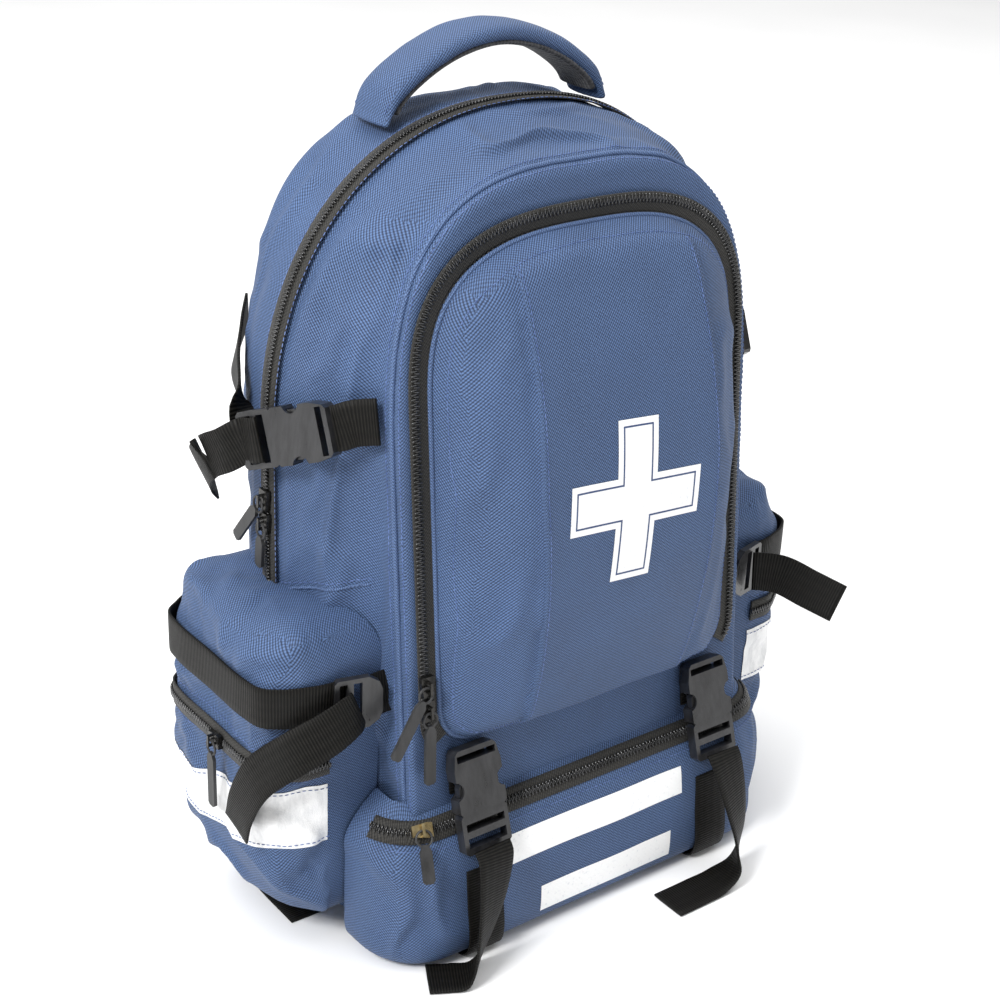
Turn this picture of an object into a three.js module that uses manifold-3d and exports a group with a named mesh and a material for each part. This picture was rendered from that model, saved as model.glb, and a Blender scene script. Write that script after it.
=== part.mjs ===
// A trauma backpack, closed and standing on its base. Millimetres, +Z up, the front faces -Y, +X is to the
// right of someone who looks at the front. The origin is on the flat base, below the main zip.
import * as THREE from "three";
import { mergeVertices } from "three/addons/utils/BufferGeometryUtils.js";
import Module from "manifold-3d";

const wasm = await Module();
wasm.setup();

// ---- driving dimensions -------------------------------------------------------------------------------
const HALF_WIDTH = 156; // of the pack, at the main zip
const TOP = 469; // of the arch, at the main zip
const SHOULDER = 300; // height where the straight sides turn into the arch
const FRONT_DEPTH = 108; // from the main zip to the front wall, at the base
const FRONT_LEAN = 0.00088; // share of that depth lost with each millimetre of height
const BACK_DEPTH = 62; // from the main zip to the back wall
const WALL = 3; // padded fabric of the shells and pockets
const MAIN_ZIP_HALF = 4.6; // half the width of the main zip's chain, along Y
const MAIN_ZIP_END = 218; // height where the main zip stops on each side
const DOOR = { half: 105.5, bottom: 136, top: 418, side: 332, flatHalf: 62 };
const DOOR_BULGE = { edge: 14, middle: 45 }; // how far the door stands out at its ends and at its middle
const ZIP_TAPE = 12.5; // width of the front zip, coil and tape
const LOWER_POCKET = { half: 152, front: -125, rear: -70, corner: 46 };
const LOWER_ZIP = { low: 84, lowInset: 4, high: 95, highInset: 13 }; // where the pocket leans back
const SIDE_POCKET = { inner: 157.4, outer: 197, front: -68.4, rear: 60, bottom: 14, top: 214, corner: 28 };
const SIDE_ZIP_HEIGHT = 131;
const POCKET_STRAP_HEIGHT = 171;
const WEB = { width: 25, thick: 1.5 };
const FRONT_STRAP_X = 88;
const BUCKLE = { half: 16, thick: 9, femaleLength: 38, maleLength: 24, slotHalf: 13.2 };
const GAP = 0.4; // air left between touching pieces

// ---- materials ----------------------------------------------------------------------------------------
const finish = (color, roughness, metalness = 0) =>
  new THREE.MeshStandardMaterial({ color, roughness, metalness });
const navy = finish(0x23386a, 0.8);
const blackWeb = finish(0x15140f, 0.7);
const acetal = finish(0x17181a, 0.35);
const zipBlack = finish(0x16171a, 0.5);
const sliderMetal = finish(0x1b1c1e, 0.3, 0.8);
const rubber = finish(0x26282b, 0.6);
const airMesh = finish(0x121316, 0.9);
const foam = finish(0x3a3b3d, 0.9);

const pack = new THREE.Group();

function piece(name, geometry, itsMaterial, parent = pack) {
  const made = new THREE.Mesh(geometry, itsMaterial.clone());
  made.name = name;
  parent.add(made);
  return made;
}

// ---- solids -------------------------------------------------------------------------------------------
function toSolid(geometry) {
  const bare = geometry.clone();
  bare.deleteAttribute("normal");
  bare.deleteAttribute("uv");
  const merged = mergeVertices(bare, 1e-3);
  const vertProperties = new Float32Array(merged.attributes.position.array);
  const triVerts = new Uint32Array(merged.index.array);
  return new wasm.Manifold(new wasm.Mesh({ numProp: 3, vertProperties, triVerts }));
}

function toGeometry(solid) {
  const { vertProperties, triVerts } = solid.getMesh();
  const geometry = new THREE.BufferGeometry();
  geometry.setAttribute("position", new THREE.BufferAttribute(vertProperties, 3));
  geometry.setIndex(new THREE.BufferAttribute(triVerts, 1));
  return geometry;
}

function signedVolume(positions, index) {
  const corner = (i) => new THREE.Vector3().fromArray(positions, 3 * i);
  let sum = 0;
  for (let i = 0; i < index.length; i += 3)
    sum += corner(index[i]).dot(corner(index[i + 1]).cross(corner(index[i + 2])));
  return sum;
}

// A closed body through rings of equal point counts, capped at both ends and turned to face outwards.
function loft(rings) {
  const count = rings[0].length;
  const positions = rings.flat().flatMap((p) => [p.x, p.y, p.z]);
  const index = [];
  for (let r = 0; r + 1 < rings.length; r++)
    for (let i = 0; i < count; i++) {
      const next = (i + 1) % count;
      const [a, b] = [r * count + i, r * count + next];
      index.push(a, b, b + count, a, b + count, a + count);
    }
  for (const [ring, forward] of [[0, false], [rings.length - 1, true]])
    for (let i = 0; 2 * i < count - 2; i++) {
      const [a, b] = [ring * count + i, ring * count + i + 1];
      const [c, d] = [(ring + 1) * count - 2 - i, (ring + 1) * count - 1 - i];
      const faces = b === c ? [a, b, d] : [a, b, c, a, c, d];
      index.push(...(forward ? faces : faces.reverse()));
    }
  if (signedVolume(positions, index) < 0) index.reverse();
  const geometry = new THREE.BufferGeometry();
  geometry.setAttribute("position", new THREE.Float32BufferAttribute(positions, 3));
  geometry.setIndex(index);
  return geometry;
}

const box = (width, depth, height, x = 0, y = 0, z = 0) =>
  new THREE.BoxGeometry(width, depth, height).translate(x, y, z);

// A flat plate in the XZ plane, `thick` deep and centred on y = 0, with rectangular holes.
function plate(outline, thick, holes = []) {
  const shape = new THREE.Shape(outline.map(([x, z]) => new THREE.Vector2(x, z)));
  for (const [low, high] of holes) {
    const corners = [[low[0], low[1]], [low[0], high[1]], [high[0], high[1]], [high[0], low[1]]];
    shape.holes.push(new THREE.Path(corners.map(([x, z]) => new THREE.Vector2(x, z))));
  }
  const solid = new THREE.ExtrudeGeometry(shape, { depth: thick, bevelEnabled: false });
  return solid.rotateX(Math.PI / 2).translate(0, thick / 2, 0);
}

// Webbing along a smooth route. Its width runs along `across`, which may turn from one end to the other.
function ribbon(route, across, { width = WEB.width, thick = WEB.thick, steps = 14, acrossEnd = across } = {}) {
  const points = route.map((p) => new THREE.Vector3(...p));
  const curve = new THREE.CatmullRomCurve3(points, false, "centripetal");
  const section = [[-1, -1], [1, -1], [1, 1], [-1, 1]];
  const ringAt = (t) => {
    const centre = curve.getPointAt(t);
    const tangent = curve.getTangentAt(t);
    const wide = new THREE.Vector3(...across).lerp(new THREE.Vector3(...acrossEnd), t);
    wide.addScaledVector(tangent, -wide.dot(tangent)).normalize();
    const normal = tangent.clone().cross(wide);
    return section.map(([u, v]) =>
      centre.clone().addScaledVector(wide, (u * width) / 2).addScaledVector(normal, (v * thick) / 2),
    );
  };
  return loft(Array.from({ length: steps + 1 }, (_, i) => ringAt(i / steps)));
}

// ---- outlines of the pack and its door ----------------------------------------------------------------
const CORNER_STEPS = 4;
const ARCH_STEPS = 20;

// The outline seen from the front: round bottom corners, straight sides, and a superellipse for the arch.
// It starts at the bottom right and runs over the top to the bottom left.
function archOutline({ half, top, bottom = 0, corner = 30, shoulder = SHOULDER, power = 2.23, heights = [] }) {
  const right = [];
  for (let i = 0; i <= CORNER_STEPS; i++) {
    const a = -Math.PI / 2 + (i / CORNER_STEPS) * (Math.PI / 2);
    right.push([half - corner + corner * Math.cos(a), bottom + corner + corner * Math.sin(a)]);
  }
  for (const height of heights) right.push([half, height]);
  for (let i = 0; i <= ARCH_STEPS / 2; i++) {
    const a = (i / ARCH_STEPS) * Math.PI;
    const x = half * Math.max(0, Math.cos(a)) ** (2 / power);
    right.push([x, shoulder + (top - shoulder) * Math.sin(a) ** (2 / power)]);
  }
  const left = right.slice(0, -1).reverse();
  return [...right, ...left.map(([x, z]) => [-x, z])];
}

const SIDE_HEIGHTS = [90, 150, MAIN_ZIP_END - 4, MAIN_ZIP_END + 4];

// The front shell gets shallower towards the top.
const frontY = (depth, z) => {
  const seam = MAIN_ZIP_HALF + GAP;
  return -(seam + (depth - seam) * (1 - FRONT_LEAN * z));
};

// ---- shells -------------------------------------------------------------------------------------------
// The sides swell out from the front panel to the main zip.
const FRONT_RINGS = [
  { depth: 5, half: 156, top: 469, power: 2.23 },
  { depth: 30, half: 152, top: 468, power: 2.3 },
  { depth: 55, half: 143, top: 463, power: 2.5 },
  { depth: 80, half: 128, top: 457, power: 2.7 },
  { depth: 98, half: 125.5, top: 452, power: 2.9 },
  { depth: 105, half: 124, top: 448, lift: 3, power: 3 },
  { depth: FRONT_DEPTH, half: 121, top: 443, lift: 10, power: 3.1 },
];

function frontRing({ depth, half, top, lift = 0, power }, grow = 0) {
  const sized = { half: half + grow, top: top + grow, bottom: lift - grow, power, heights: SIDE_HEIGHTS };
  return archOutline(sized).map(([x, z]) => new THREE.Vector3(x, frontY(depth, z), z));
}

function frontShell() {
  const inner = FRONT_RINGS.map((ring, i) => frontRing({ ...ring, depth: ring.depth - (i ? WALL : 0) }, -WALL));
  return loft([...inner.reverse(), ...FRONT_RINGS.map((ring) => frontRing(ring))]);
}

// The space that the front shell fills, with a gap round it, for cutting what lies against it.
function frontShellEnvelope() {
  return toSolid(loft(FRONT_RINGS.map((ring) => frontRing({ ...ring, depth: ring.depth + GAP }, GAP))));
}

const BACK_RINGS = [
  { y: MAIN_ZIP_HALF + GAP, half: 156, top: 469, power: 2.23 },
  { y: 24, half: 154, top: 469, power: 2.3 },
  { y: 42, half: 147, top: 468, power: 2.5 },
  { y: 54, half: 139, top: 463, lift: 3, power: 3 },
  { y: 60, half: 131, top: 457, lift: 9, power: 3.3 },
  { y: BACK_DEPTH, half: 119, top: 446, lift: 20, power: 3.2 },
];

// Below the main zip the back shell reaches forward to its seam with the front shell.
function backRing({ y, half, top, lift = 0, power }, atMouth, inset = 0) {
  const sized = { half: half - inset, top: top - inset, bottom: lift + inset, power, heights: SIDE_HEIGHTS };
  const at = (z) => (atMouth && z < MAIN_ZIP_END ? -MAIN_ZIP_HALF : y);
  return archOutline(sized).map(([x, z]) => new THREE.Vector3(x, at(z), z));
}

function backShell() {
  const inner = BACK_RINGS.map((ring, i) => backRing({ ...ring, y: ring.y - (i ? WALL : 0) }, i === 0, WALL));
  return loft([...inner.reverse(), ...BACK_RINGS.map((ring, i) => backRing(ring, i === 0))]);
}

// Half the pack's width at a depth and a height, on its straight sides.
function halfWidthAt(y, z) {
  const seam = MAIN_ZIP_HALF + GAP;
  const depth = seam + (-y - seam) / (1 - FRONT_LEAN * z);
  const rings = y < 0 ? FRONT_RINGS.map((r) => [r.depth, r.half]) : BACK_RINGS.map((r) => [r.y, r.half]);
  const place = y < 0 ? depth : y;
  const next = rings.findIndex(([at]) => at > place);
  if (next < 1) return rings[0][1];
  const [[from, low], [to, high]] = [rings[next - 1], rings[next]];
  return low + ((high - low) * (place - from)) / (to - from);
}

// The band between two open outlines of equal point counts, from y = near to y = far at each point.
function bandBetween(outer, inner, near, far) {
  return loft(
    outer.map(([x, z], i) => {
      const [xi, zi] = inner[i];
      return [
        new THREE.Vector3(x, near(z), z),
        new THREE.Vector3(x, far(z), z),
        new THREE.Vector3(xi, far(zi), zi),
        new THREE.Vector3(xi, near(zi), zi),
      ];
    }),
  );
}

function mainZip() {
  const outline = (inset) => {
    const sized = { half: HALF_WIDTH - inset, top: TOP - inset, heights: SIDE_HEIGHTS };
    return archOutline(sized).filter(([, z]) => z > MAIN_ZIP_END);
  };
  return bandBetween(outline(-1.2), outline(WALL), () => -MAIN_ZIP_HALF, () => MAIN_ZIP_HALF);
}

// ---- front door and its zip ---------------------------------------------------------------------------
function doorOutline(inset, insetZ = inset) {
  const half = Math.max(0.6, DOOR.half - inset);
  return archOutline({
    half,
    top: DOOR.top - insetZ,
    bottom: DOOR.bottom + insetZ,
    corner: Math.min(half, Math.max(6, 24 - inset / 2)),
    shoulder: DOOR.side,
    power: 2.9,
    heights: [220, 280],
  });
}

// How far the door stands out of the front wall: most along its flat middle, least along its zip.
function doorBulge(x, z) {
  const along = THREE.MathUtils.clamp((z - DOOR.bottom) / (DOOR.top - DOOR.bottom), 0, 1);
  const crown = DOOR_BULGE.edge + (DOOR_BULGE.middle - DOOR_BULGE.edge) * Math.sin(Math.PI * along) ** 0.8;
  const beside = THREE.MathUtils.clamp((Math.abs(x) - DOOR.flatHalf) / (DOOR.half - DOOR.flatHalf), 0, 1);
  return crown * (1 - 0.78 * beside ** 1.3);
}

function doorRing(inset, insetZ, share, inside = 0) {
  return doorOutline(inset + inside, insetZ + inside).map(([x, z]) => {
    const out = Math.max(GAP + 0.4, doorBulge(x, z) * share - inside);
    return new THREE.Vector3(x, frontY(FRONT_DEPTH, z) - out, z);
  });
}

function door() {
  const steps = [
    [0, 0, 0.06], [2.5, 2.5, 0.55], [8, 8, 0.9], [18, 18, 1],
    [32, 28, 1], [52, 38, 1], [78, 46, 1], [106.2, 50, 1],
  ];
  const inner = steps.map((step) => doorRing(...step, WALL));
  return loft([...inner.reverse(), ...steps.map((step) => doorRing(...step))]);
}

function frontZip() {
  const aboveHinge = ([, z]) => z > DOOR.bottom + 2;
  const inner = doorOutline(-GAP);
  const outer = doorOutline(-ZIP_TAPE);
  const kept = inner.map((p, i) => i).filter((i) => aboveHinge(inner[i]) && aboveHinge(outer[i]));
  const wall = (out) => (z) => frontY(FRONT_DEPTH, z) - out;
  return bandBetween(kept.map((i) => outer[i]), kept.map((i) => inner[i]), wall(2.4), wall(GAP));
}

// ---- lower pocket -------------------------------------------------------------------------------------
// The lower pocket's plan at a height: straight across the front, round corners, open towards the pack.
function lowerPlan(inset, z, rear = LOWER_POCKET.rear) {
  const half = LOWER_POCKET.half - inset;
  const front = LOWER_POCKET.front + 0.11 * z + inset;
  const radius = LOWER_POCKET.corner - 1.7 * inset;
  const corner = (side) =>
    Array.from({ length: 6 }, (_, i) => {
      const a = ((side < 0 ? i : 5 - i) / 5) * (Math.PI / 2);
      return [side * (half - radius + radius * Math.cos(a)), front + radius - radius * Math.sin(a)];
    });
  const plan = [[-half, rear], ...corner(-1), ...corner(1), [half, rear]];
  return plan.map(([x, y]) => new THREE.Vector3(x, y, z));
}

function lowerPocket() {
  const { low, lowInset, high, highInset } = LOWER_ZIP;
  const levels = [[2, 12], [7, 4], [16, 0], [72, 0], [low, lowInset], [high, highInset], [103, 22]];
  const hollow = [[5, 15], [16, WALL], [71, WALL], [low - 1, lowInset + WALL], [high - 1, highInset + WALL]];
  const skin = toSolid(loft(levels.map(([z, inset]) => lowerPlan(inset, z))));
  const space = toSolid(loft(hollow.map(([z, inset]) => lowerPlan(inset, z, LOWER_POCKET.rear - WALL))));
  return toGeometry(skin.subtract(space).subtract(frontShellEnvelope()));
}

function lowerZip() {
  const { low, lowInset, high, highInset } = LOWER_ZIP;
  const edge = (inset, z, out) => lowerPlan(inset - 0.78 * out, z + 0.63 * out).slice(4, -4);
  const [inner, outer] = [0.4, 2];
  const corners = [
    edge(lowInset, low + 0.5, inner),
    edge(lowInset, low + 0.5, outer),
    edge(highInset, high - 0.5, outer),
    edge(highInset, high - 0.5, inner),
  ];
  return loft(corners[0].map((_, i) => corners.map((line) => line[i])));
}

// ---- side pockets -------------------------------------------------------------------------------------
function sidePocketRing(x, inset) {
  const { front, rear, bottom, top, corner } = SIDE_POCKET;
  const radius = corner + inset / 3;
  const [low, high] = [inset + radius, -inset - radius];
  const centres = [
    [rear + high, bottom + low],
    [rear + high, top + high],
    [front + low, top + high],
    [front + low, bottom + low],
  ];
  const arcs = centres.map(([y, z], quarter) =>
    Array.from({ length: 5 }, (_, i) => {
      const a = (quarter - 1 + i / 4) * (Math.PI / 2);
      return new THREE.Vector3(x, y + radius * Math.cos(a), z + radius * Math.sin(a));
    }),
  );
  const between = (from, to) => [0.2, 0.4, 0.6, 0.8].map((t) => from.at(-1).clone().lerp(to[0], t));
  const [lowRear, highRear, highFront, lowFront] = arcs;
  const over = between(highRear, highFront);
  return [...lowRear, ...highRear, ...over, ...highFront, ...lowFront, ...between(lowFront, lowRear)];
}

// The mouth of a side pocket follows the pack's side.
function sidePocket(side) {
  const { inner, outer } = SIDE_POCKET;
  const steps = [[inner, 0], [inner + 18, 1], [outer - 12, 6], [outer - 3, 14], [outer, 24]];
  const mouth = (inset) =>
    sidePocketRing(0, inset).map((p) => p.setX(side * (halfWidthAt(p.y, p.z) + 2)));
  const lining = steps.slice(1).map(([x, inset]) => sidePocketRing(side * (x - WALL), inset + WALL));
  const skin = steps.slice(1).map(([x, inset]) => sidePocketRing(side * x, inset));
  return loft([...lining.reverse(), mouth(WALL), mouth(0), ...skin]);
}

// A route round a side pocket in plan, `out` millimetres off it, from its front to its rear.
function roundPocket(side, out, height) {
  const { inner, outer, front, rear } = SIDE_POCKET;
  const half = [
    [inner + 4, -out], [inner + 20, 1 - out], [outer - 12 + out * 0.6, 6 - out],
    [outer - 3 + out, 14 - out], [outer + out, 27],
  ];
  const fromFront = half.map(([x, y]) => [x, front + y]);
  const fromRear = half.map(([x, y]) => [x, rear - y]).reverse();
  return [...fromFront, [outer + out, (front + rear) / 2], ...fromRear].map(([x, y]) => [side * x, y, height]);
}

// ---- buckles: the length runs along +Z, the width along X, and the outer face looks towards -Y --------
function femaleBuckle() {
  const { half, thick, femaleLength: length, slotHalf } = BUCKLE;
  const outline = [
    [-half, 1.5], [-half + 1.5, 0.2], [half - 1.5, 0.2], [half, 1.5], [half, length - 11],
    [half - 2, length - 2], [half - 4, length], [-half + 4, length], [-half + 2, length - 2],
    [-half, length - 11],
  ];
  const body = toSolid(plate(outline, thick, [[[-slotHalf, length - 7], [slotHalf, length - 3]]]));
  const socket = toSolid(box(2 * half - 4, thick - 3.4, 26, 0, 0, 12.6));
  const window = (side) =>
    toSolid(new THREE.CylinderGeometry(5.5, 5.5, 12, 20).translate(side * (half + 1), 0, 15));
  return toGeometry(body.subtract(socket).subtract(window(-1)).subtract(window(1)));
}

function maleBuckle() {
  const { half, maleLength: length, slotHalf } = BUCKLE;
  const outline = [
    [-half, -2], [-half, 2 - length], [-half + 2, -length], [half - 2, -length],
    [half, 2 - length], [half, -2], [half - 1.5, -0.2], [-half + 1.5, -0.2],
  ];
  const slots = [[[-slotHalf, -10], [slotHalf, -5.5]], [[-slotHalf, 4 - length], [slotHalf, -14]]];
  const arm = [[7.5, -1], [11, -1], [12, 9], [13.6, 10.5], [13.6, 16], [10.8, 20], [8.4, 20], [9.4, 13]];
  const right = toSolid(plate(arm, 4.6));
  const guide = toSolid(box(4, 4, 20, 0, 0, 8));
  return toGeometry(toSolid(plate(outline, 7, slots)).add(right).add(right.mirror([1, 0, 0])).add(guide));
}

// Two slots between three bars, with a thumb lip that reaches past the webbing.
function ladderLock() {
  const { half, slotHalf } = BUCKLE;
  const outline = [
    [-half, -11], [-half + 2, -13], [half - 2, -13], [half, -11], [half, 7],
    [half - 4, 13], [half - 9, 15], [-half + 9, 15], [-half + 4, 13], [-half, 7],
  ];
  const slots = [[[-slotHalf, -10], [slotHalf, -5.5]], [[-slotHalf, -2], [slotHalf, 3]]];
  return toGeometry(toSolid(plate(outline, 4, slots)));
}

// ---- zip sliders: the zip runs along Z, and the outer face looks towards -Y ---------------------------
const PULL = { ring: 4.6, wire: 0.7, width: 7, neck: 4 };

function sliderBody(level) {
  const wedge = plate([[-3, -6], [3, -6], [4.4, 3], [4, 6], [-4, 6], [-4.4, 3]], 3);
  if (level) wedge.rotateY(Math.PI / 2);
  const bail = toSolid(box(1.6, 4.2, 7.4, 0, -3, 0)).subtract(toSolid(box(4, 2.4, 5.2, 0, -2.9, 0)));
  return toGeometry(toSolid(wedge).add(bail));
}

// A wire ring through the slider's bail, and the tab that hangs from it.
function pullTab(length) {
  const { ring, wire, width, neck } = PULL;
  const loop = new THREE.TorusGeometry(ring, wire, 8, 18).rotateX(Math.PI / 2).translate(0, 0, -ring);
  const [half, top] = [width / 2, -2 * ring + 1.2];
  const outline = [
    [-half, top - neck], [-half, top - length + 1.5], [-half + 1.5, top - length], [half - 1.5, top - length],
    [half, top - length + 1.5], [half, top - neck], [1.5, top], [-1.5, top],
  ];
  return toGeometry(toSolid(loop).add(toSolid(plate(outline, 2))));
}

// A slider and its pull. `turn` points its outer face and `lean` tips it with the wall. `swing` hangs the pull
// to one side and `hang` brings it back towards the vertical. `level` suits a zip that runs level.
function slider(name, place, { turn = 0, lean = 0, hang = 0, swing = 0, level = false, length = 36 }) {
  const frame = new THREE.Group();
  frame.position.set(...place);
  frame.rotation.set(lean, 0, turn, "ZXY");
  pack.add(frame);
  piece(`${name}_slider`, sliderBody(level), sliderMetal, frame);
  const hung = new THREE.Group();
  hung.position.set(0, -2.9, 0);
  hung.rotation.set(hang, swing, 0);
  frame.add(hung);
  piece(`${name}_pull`, pullTab(length), rubber, hung);
}

// ---- assembly: shells, door, pockets ------------------------------------------------------------------
piece("rear_shell", backShell(), navy);
piece("front_shell", frontShell(), navy);
piece("main_zip_chain", mainZip(), zipBlack);
piece("front_pocket_door", door(), navy);
piece("front_zip_chain", frontZip(), zipBlack);
piece("lower_pocket", lowerPocket(), navy);
piece("lower_zip_chain", lowerZip(), zipBlack);

function backPad() {
  const outline = (inset) =>
    archOutline({ half: 112 - inset, top: 432 - inset, bottom: 36 + inset, corner: 26 });
  const steps = [[GAP, 8], [4, 3], [10, 4], [14, 14]];
  return loft(
    steps.map(([out, inset]) => outline(inset).map(([x, z]) => new THREE.Vector3(x, BACK_DEPTH + out, z))),
  );
}
piece("back_pad", backPad(), airMesh);
piece("back_foam_board", box(180, 4, 300, 0, BACK_DEPTH - WALL - 5, 205), foam);

const HANDLE = { y: 25, width: 34, thick: 12 };
const handleHalf = [[76, 461.5], [69, 473], [53, 486], [29, 497.5]];
const handleRoute = [...handleHalf.map(([x, z]) => [-x, z]), [0, 502.5], ...handleHalf.toReversed()];
piece(
  "grab_handle",
  ribbon(handleRoute.map(([x, z]) => [x, HANDLE.y, z]), [0, 1, 0], { ...HANDLE, steps: 22 }),
  navy,
);

// ---- straps, built for each side ----------------------------------------------------------------------
function frontStrap(word, side) {
  const x = side * FRONT_STRAP_X;
  const frame = new THREE.Group();
  frame.position.set(x, -113.8, 98);
  frame.rotation.x = THREE.MathUtils.degToRad(-18);
  pack.add(frame);
  piece(`front_buckle_female_${word}`, femaleBuckle(), acetal, frame);
  piece(`front_buckle_male_${word}`, maleBuckle(), acetal, frame);
  const upper = [[x, -99.4, 111], [x, -98.9, 117], [x, -98.4, 123], [x, -98, 127.5]];
  piece(`front_strap_upper_${word}`, ribbon(upper, [1, 0, 0], { steps: 6 }), blackWeb);
  const sewn = [
    [x, -104, 1], [x, -113, 1.05], [x, -121.5, 4.5], [x, -125, 14], [x, -121.9, 42], [x, -119.8, 62],
  ];
  piece(`front_strap_sewn_${word}`, ribbon(sewn, [1, 0, 0], { steps: 16 }), blackWeb);
}

const FRONT_TAILS = {
  left: [
    [-89, -133, 74], [-92, -135, 54], [-98, -137, 28], [-104, -137, 9], [-109, -135, 2.4],
    [-118, -130, 1.3], [-129, -124, 1.3],
  ],
  right: [
    [89, -133, 74], [92, -139, 52], [92, -146, 28], [86, -150, 10], [72, -150, 2.6],
    [54, -150, 1.3], [32, -150, 1.3],
  ],
};

function upperSideStrap(word, side) {
  const across = (x, y, z) => [side * x, y, z];
  const along = new THREE.Vector3(side * -0.38, -0.86, 0.34).normalize();
  const outward = new THREE.Vector3(side, 0, 0);
  outward.addScaledVector(along, -outward.dot(along)).normalize();
  const wide = outward.clone().negate().cross(along);
  const frame = new THREE.Group();
  frame.position.set(...across(160.8, -18, 309));
  frame.quaternion.setFromRotationMatrix(new THREE.Matrix4().makeBasis(wide, outward.clone().negate(), along));
  pack.add(frame);
  piece(`side_buckle_female_${word}`, femaleBuckle(), acetal, frame);
  piece(`side_buckle_male_${word}`, maleBuckle(), acetal, frame);
  const local = (out, on) =>
    frame.position.clone().addScaledVector(outward, out).addScaledVector(along, on).toArray();
  const front = [local(-1, 40.5), across(139, -56, 325), across(133.5, -61, 326.5), across(130.8, -66, 328)];
  piece(`side_strap_front_${word}`, ribbon(front, wide.toArray(), { steps: 8 }), blackWeb);
  const rear = [
    across(159, 10, 303), across(159.2, 22, 316), across(154.5, 38, 331), across(144, 52, 343),
    across(134, 63, 351),
  ];
  piece(`side_strap_rear_${word}`, ribbon(rear, across(0.27, -0.42, 0.82), { steps: 12 }), blackWeb);
  const tail = [
    across(179, 5, 297), across(183, 19, 289), across(181, 33, 278), across(173, 44, 267),
    across(165, 48, 258),
  ];
  const tailShape = ribbon(tail, [0, 0.5, 0.86], { steps: 12, acrossEnd: [0, 0.7, 0.7] });
  piece(`side_strap_tail_${word}`, tailShape, blackWeb);
}

const POCKET_LOCK = { x: 147.5, y: -75.4, z: 168 };
const POCKET_TAILS = {
  left: [
    [-152, -81.5, 166], [-168, -83, 160], [-188, -76, 149], [-201, -60, 130], [-205, -48, 106], [-205, -42, 88],
  ],
  right: [[152, -81.5, 168], [164, -90, 166], [177, -104, 158], [190, -118, 150]],
};

function pocketStrap(word, side) {
  const route = roundPocket(side, 1.9, POCKET_STRAP_HEIGHT).slice(1, -1);
  route[0] = [side * 168, SIDE_POCKET.front - 2.4, POCKET_STRAP_HEIGHT];
  route.push([side * 150, SIDE_POCKET.rear + 3.4, 182]);
  piece(`pocket_strap_${word}`, ribbon(route, [0, 0, 1], { steps: 24 }), blackWeb);
  const lock = new THREE.Group();
  lock.position.set(side * POCKET_LOCK.x, POCKET_LOCK.y, POCKET_LOCK.z);
  const along = new THREE.Vector3(-side, -0.25, 0).normalize();
  const inward = new THREE.Vector3(-side * 0.25, 1, 0).normalize();
  const basis = new THREE.Matrix4().makeBasis(inward.clone().cross(along), inward, along);
  lock.quaternion.setFromRotationMatrix(basis);
  pack.add(lock);
  piece(`pocket_strap_lock_${word}`, ladderLock(), acetal, lock);
  const acrossEnd = side < 0 ? [0, 0.8, 0.6] : [0.3, 0.3, 0.9];
  const tail = ribbon(POCKET_TAILS[word], [0, 0.2, 0.98], { steps: 14, acrossEnd });
  piece(`pocket_strap_tail_${word}`, tail, blackWeb);
}

// The left webbing doubles back below its lock and its free end runs down to the floor and forward.
const SHOULDER_WEBBING = {
  left: [
    [-100, 65.4, 25], [-97, 69.5, 31], [-94, 77.6, 40], [-86, 79, 70], [-75, 79.5, 106], [-74, 82.5, 112],
    [-75, 86, 106], [-90, 90, 66], [-112, 88, 26], [-130, 76, 5], [-146, 48, 1.2], [-153, 10, 1.2],
    [-154, -36, 1.2],
  ],
  right: [[100, 65.4, 25], [97, 69.5, 31], [94, 77.6, 40], [86, 79, 70], [73.5, 80, 114]],
};

function shoulderStrap(word, side) {
  const across = (x, y, z) => [side * x, y, z];
  const padded = [across(46, 83.5, 428), across(49, 92, 396), across(53, 99, 340), across(62, 98, 270),
    across(68, 91, 200), across(72, 83.5, 148)];
  piece(`shoulder_strap_${word}`, ribbon(padded, [1, 0, 0], { width: 52, thick: 11, steps: 18 }), navy);
  const lock = new THREE.Group();
  lock.position.set(...across(73, 82, 131));
  lock.rotation.x = THREE.MathUtils.degToRad(-8);
  pack.add(lock);
  piece(`shoulder_lock_${word}`, ladderLock(), acetal, lock);
  const steps = side < 0 ? 36 : 8;
  piece(`shoulder_webbing_${word}`, ribbon(SHOULDER_WEBBING[word], [1, 0, 0], { steps }), blackWeb);
}

for (const [word, side] of [["left", -1], ["right", 1]]) {
  piece(`side_pocket_${word}`, sidePocket(side), navy);
  const zipRoute = roundPocket(side, 1.9, SIDE_ZIP_HEIGHT);
  piece(`side_zip_chain_${word}`, ribbon(zipRoute, [0, 0, 1], { width: 14, thick: 1.6, steps: 22 }), zipBlack);
  frontStrap(word, side);
  const frontTail = side < 0 ? { acrossEnd: [0.48, 0.88, 0] } : { acrossEnd: [0, 1, 0] };
  const tail = ribbon(FRONT_TAILS[word], [1, 0, 0], { steps: 18, ...frontTail });
  piece(`front_strap_tail_${word}`, tail, blackWeb);
  upperSideStrap(word, side);
  pocketStrap(word, side);
  shoulderStrap(word, side);
}

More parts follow.
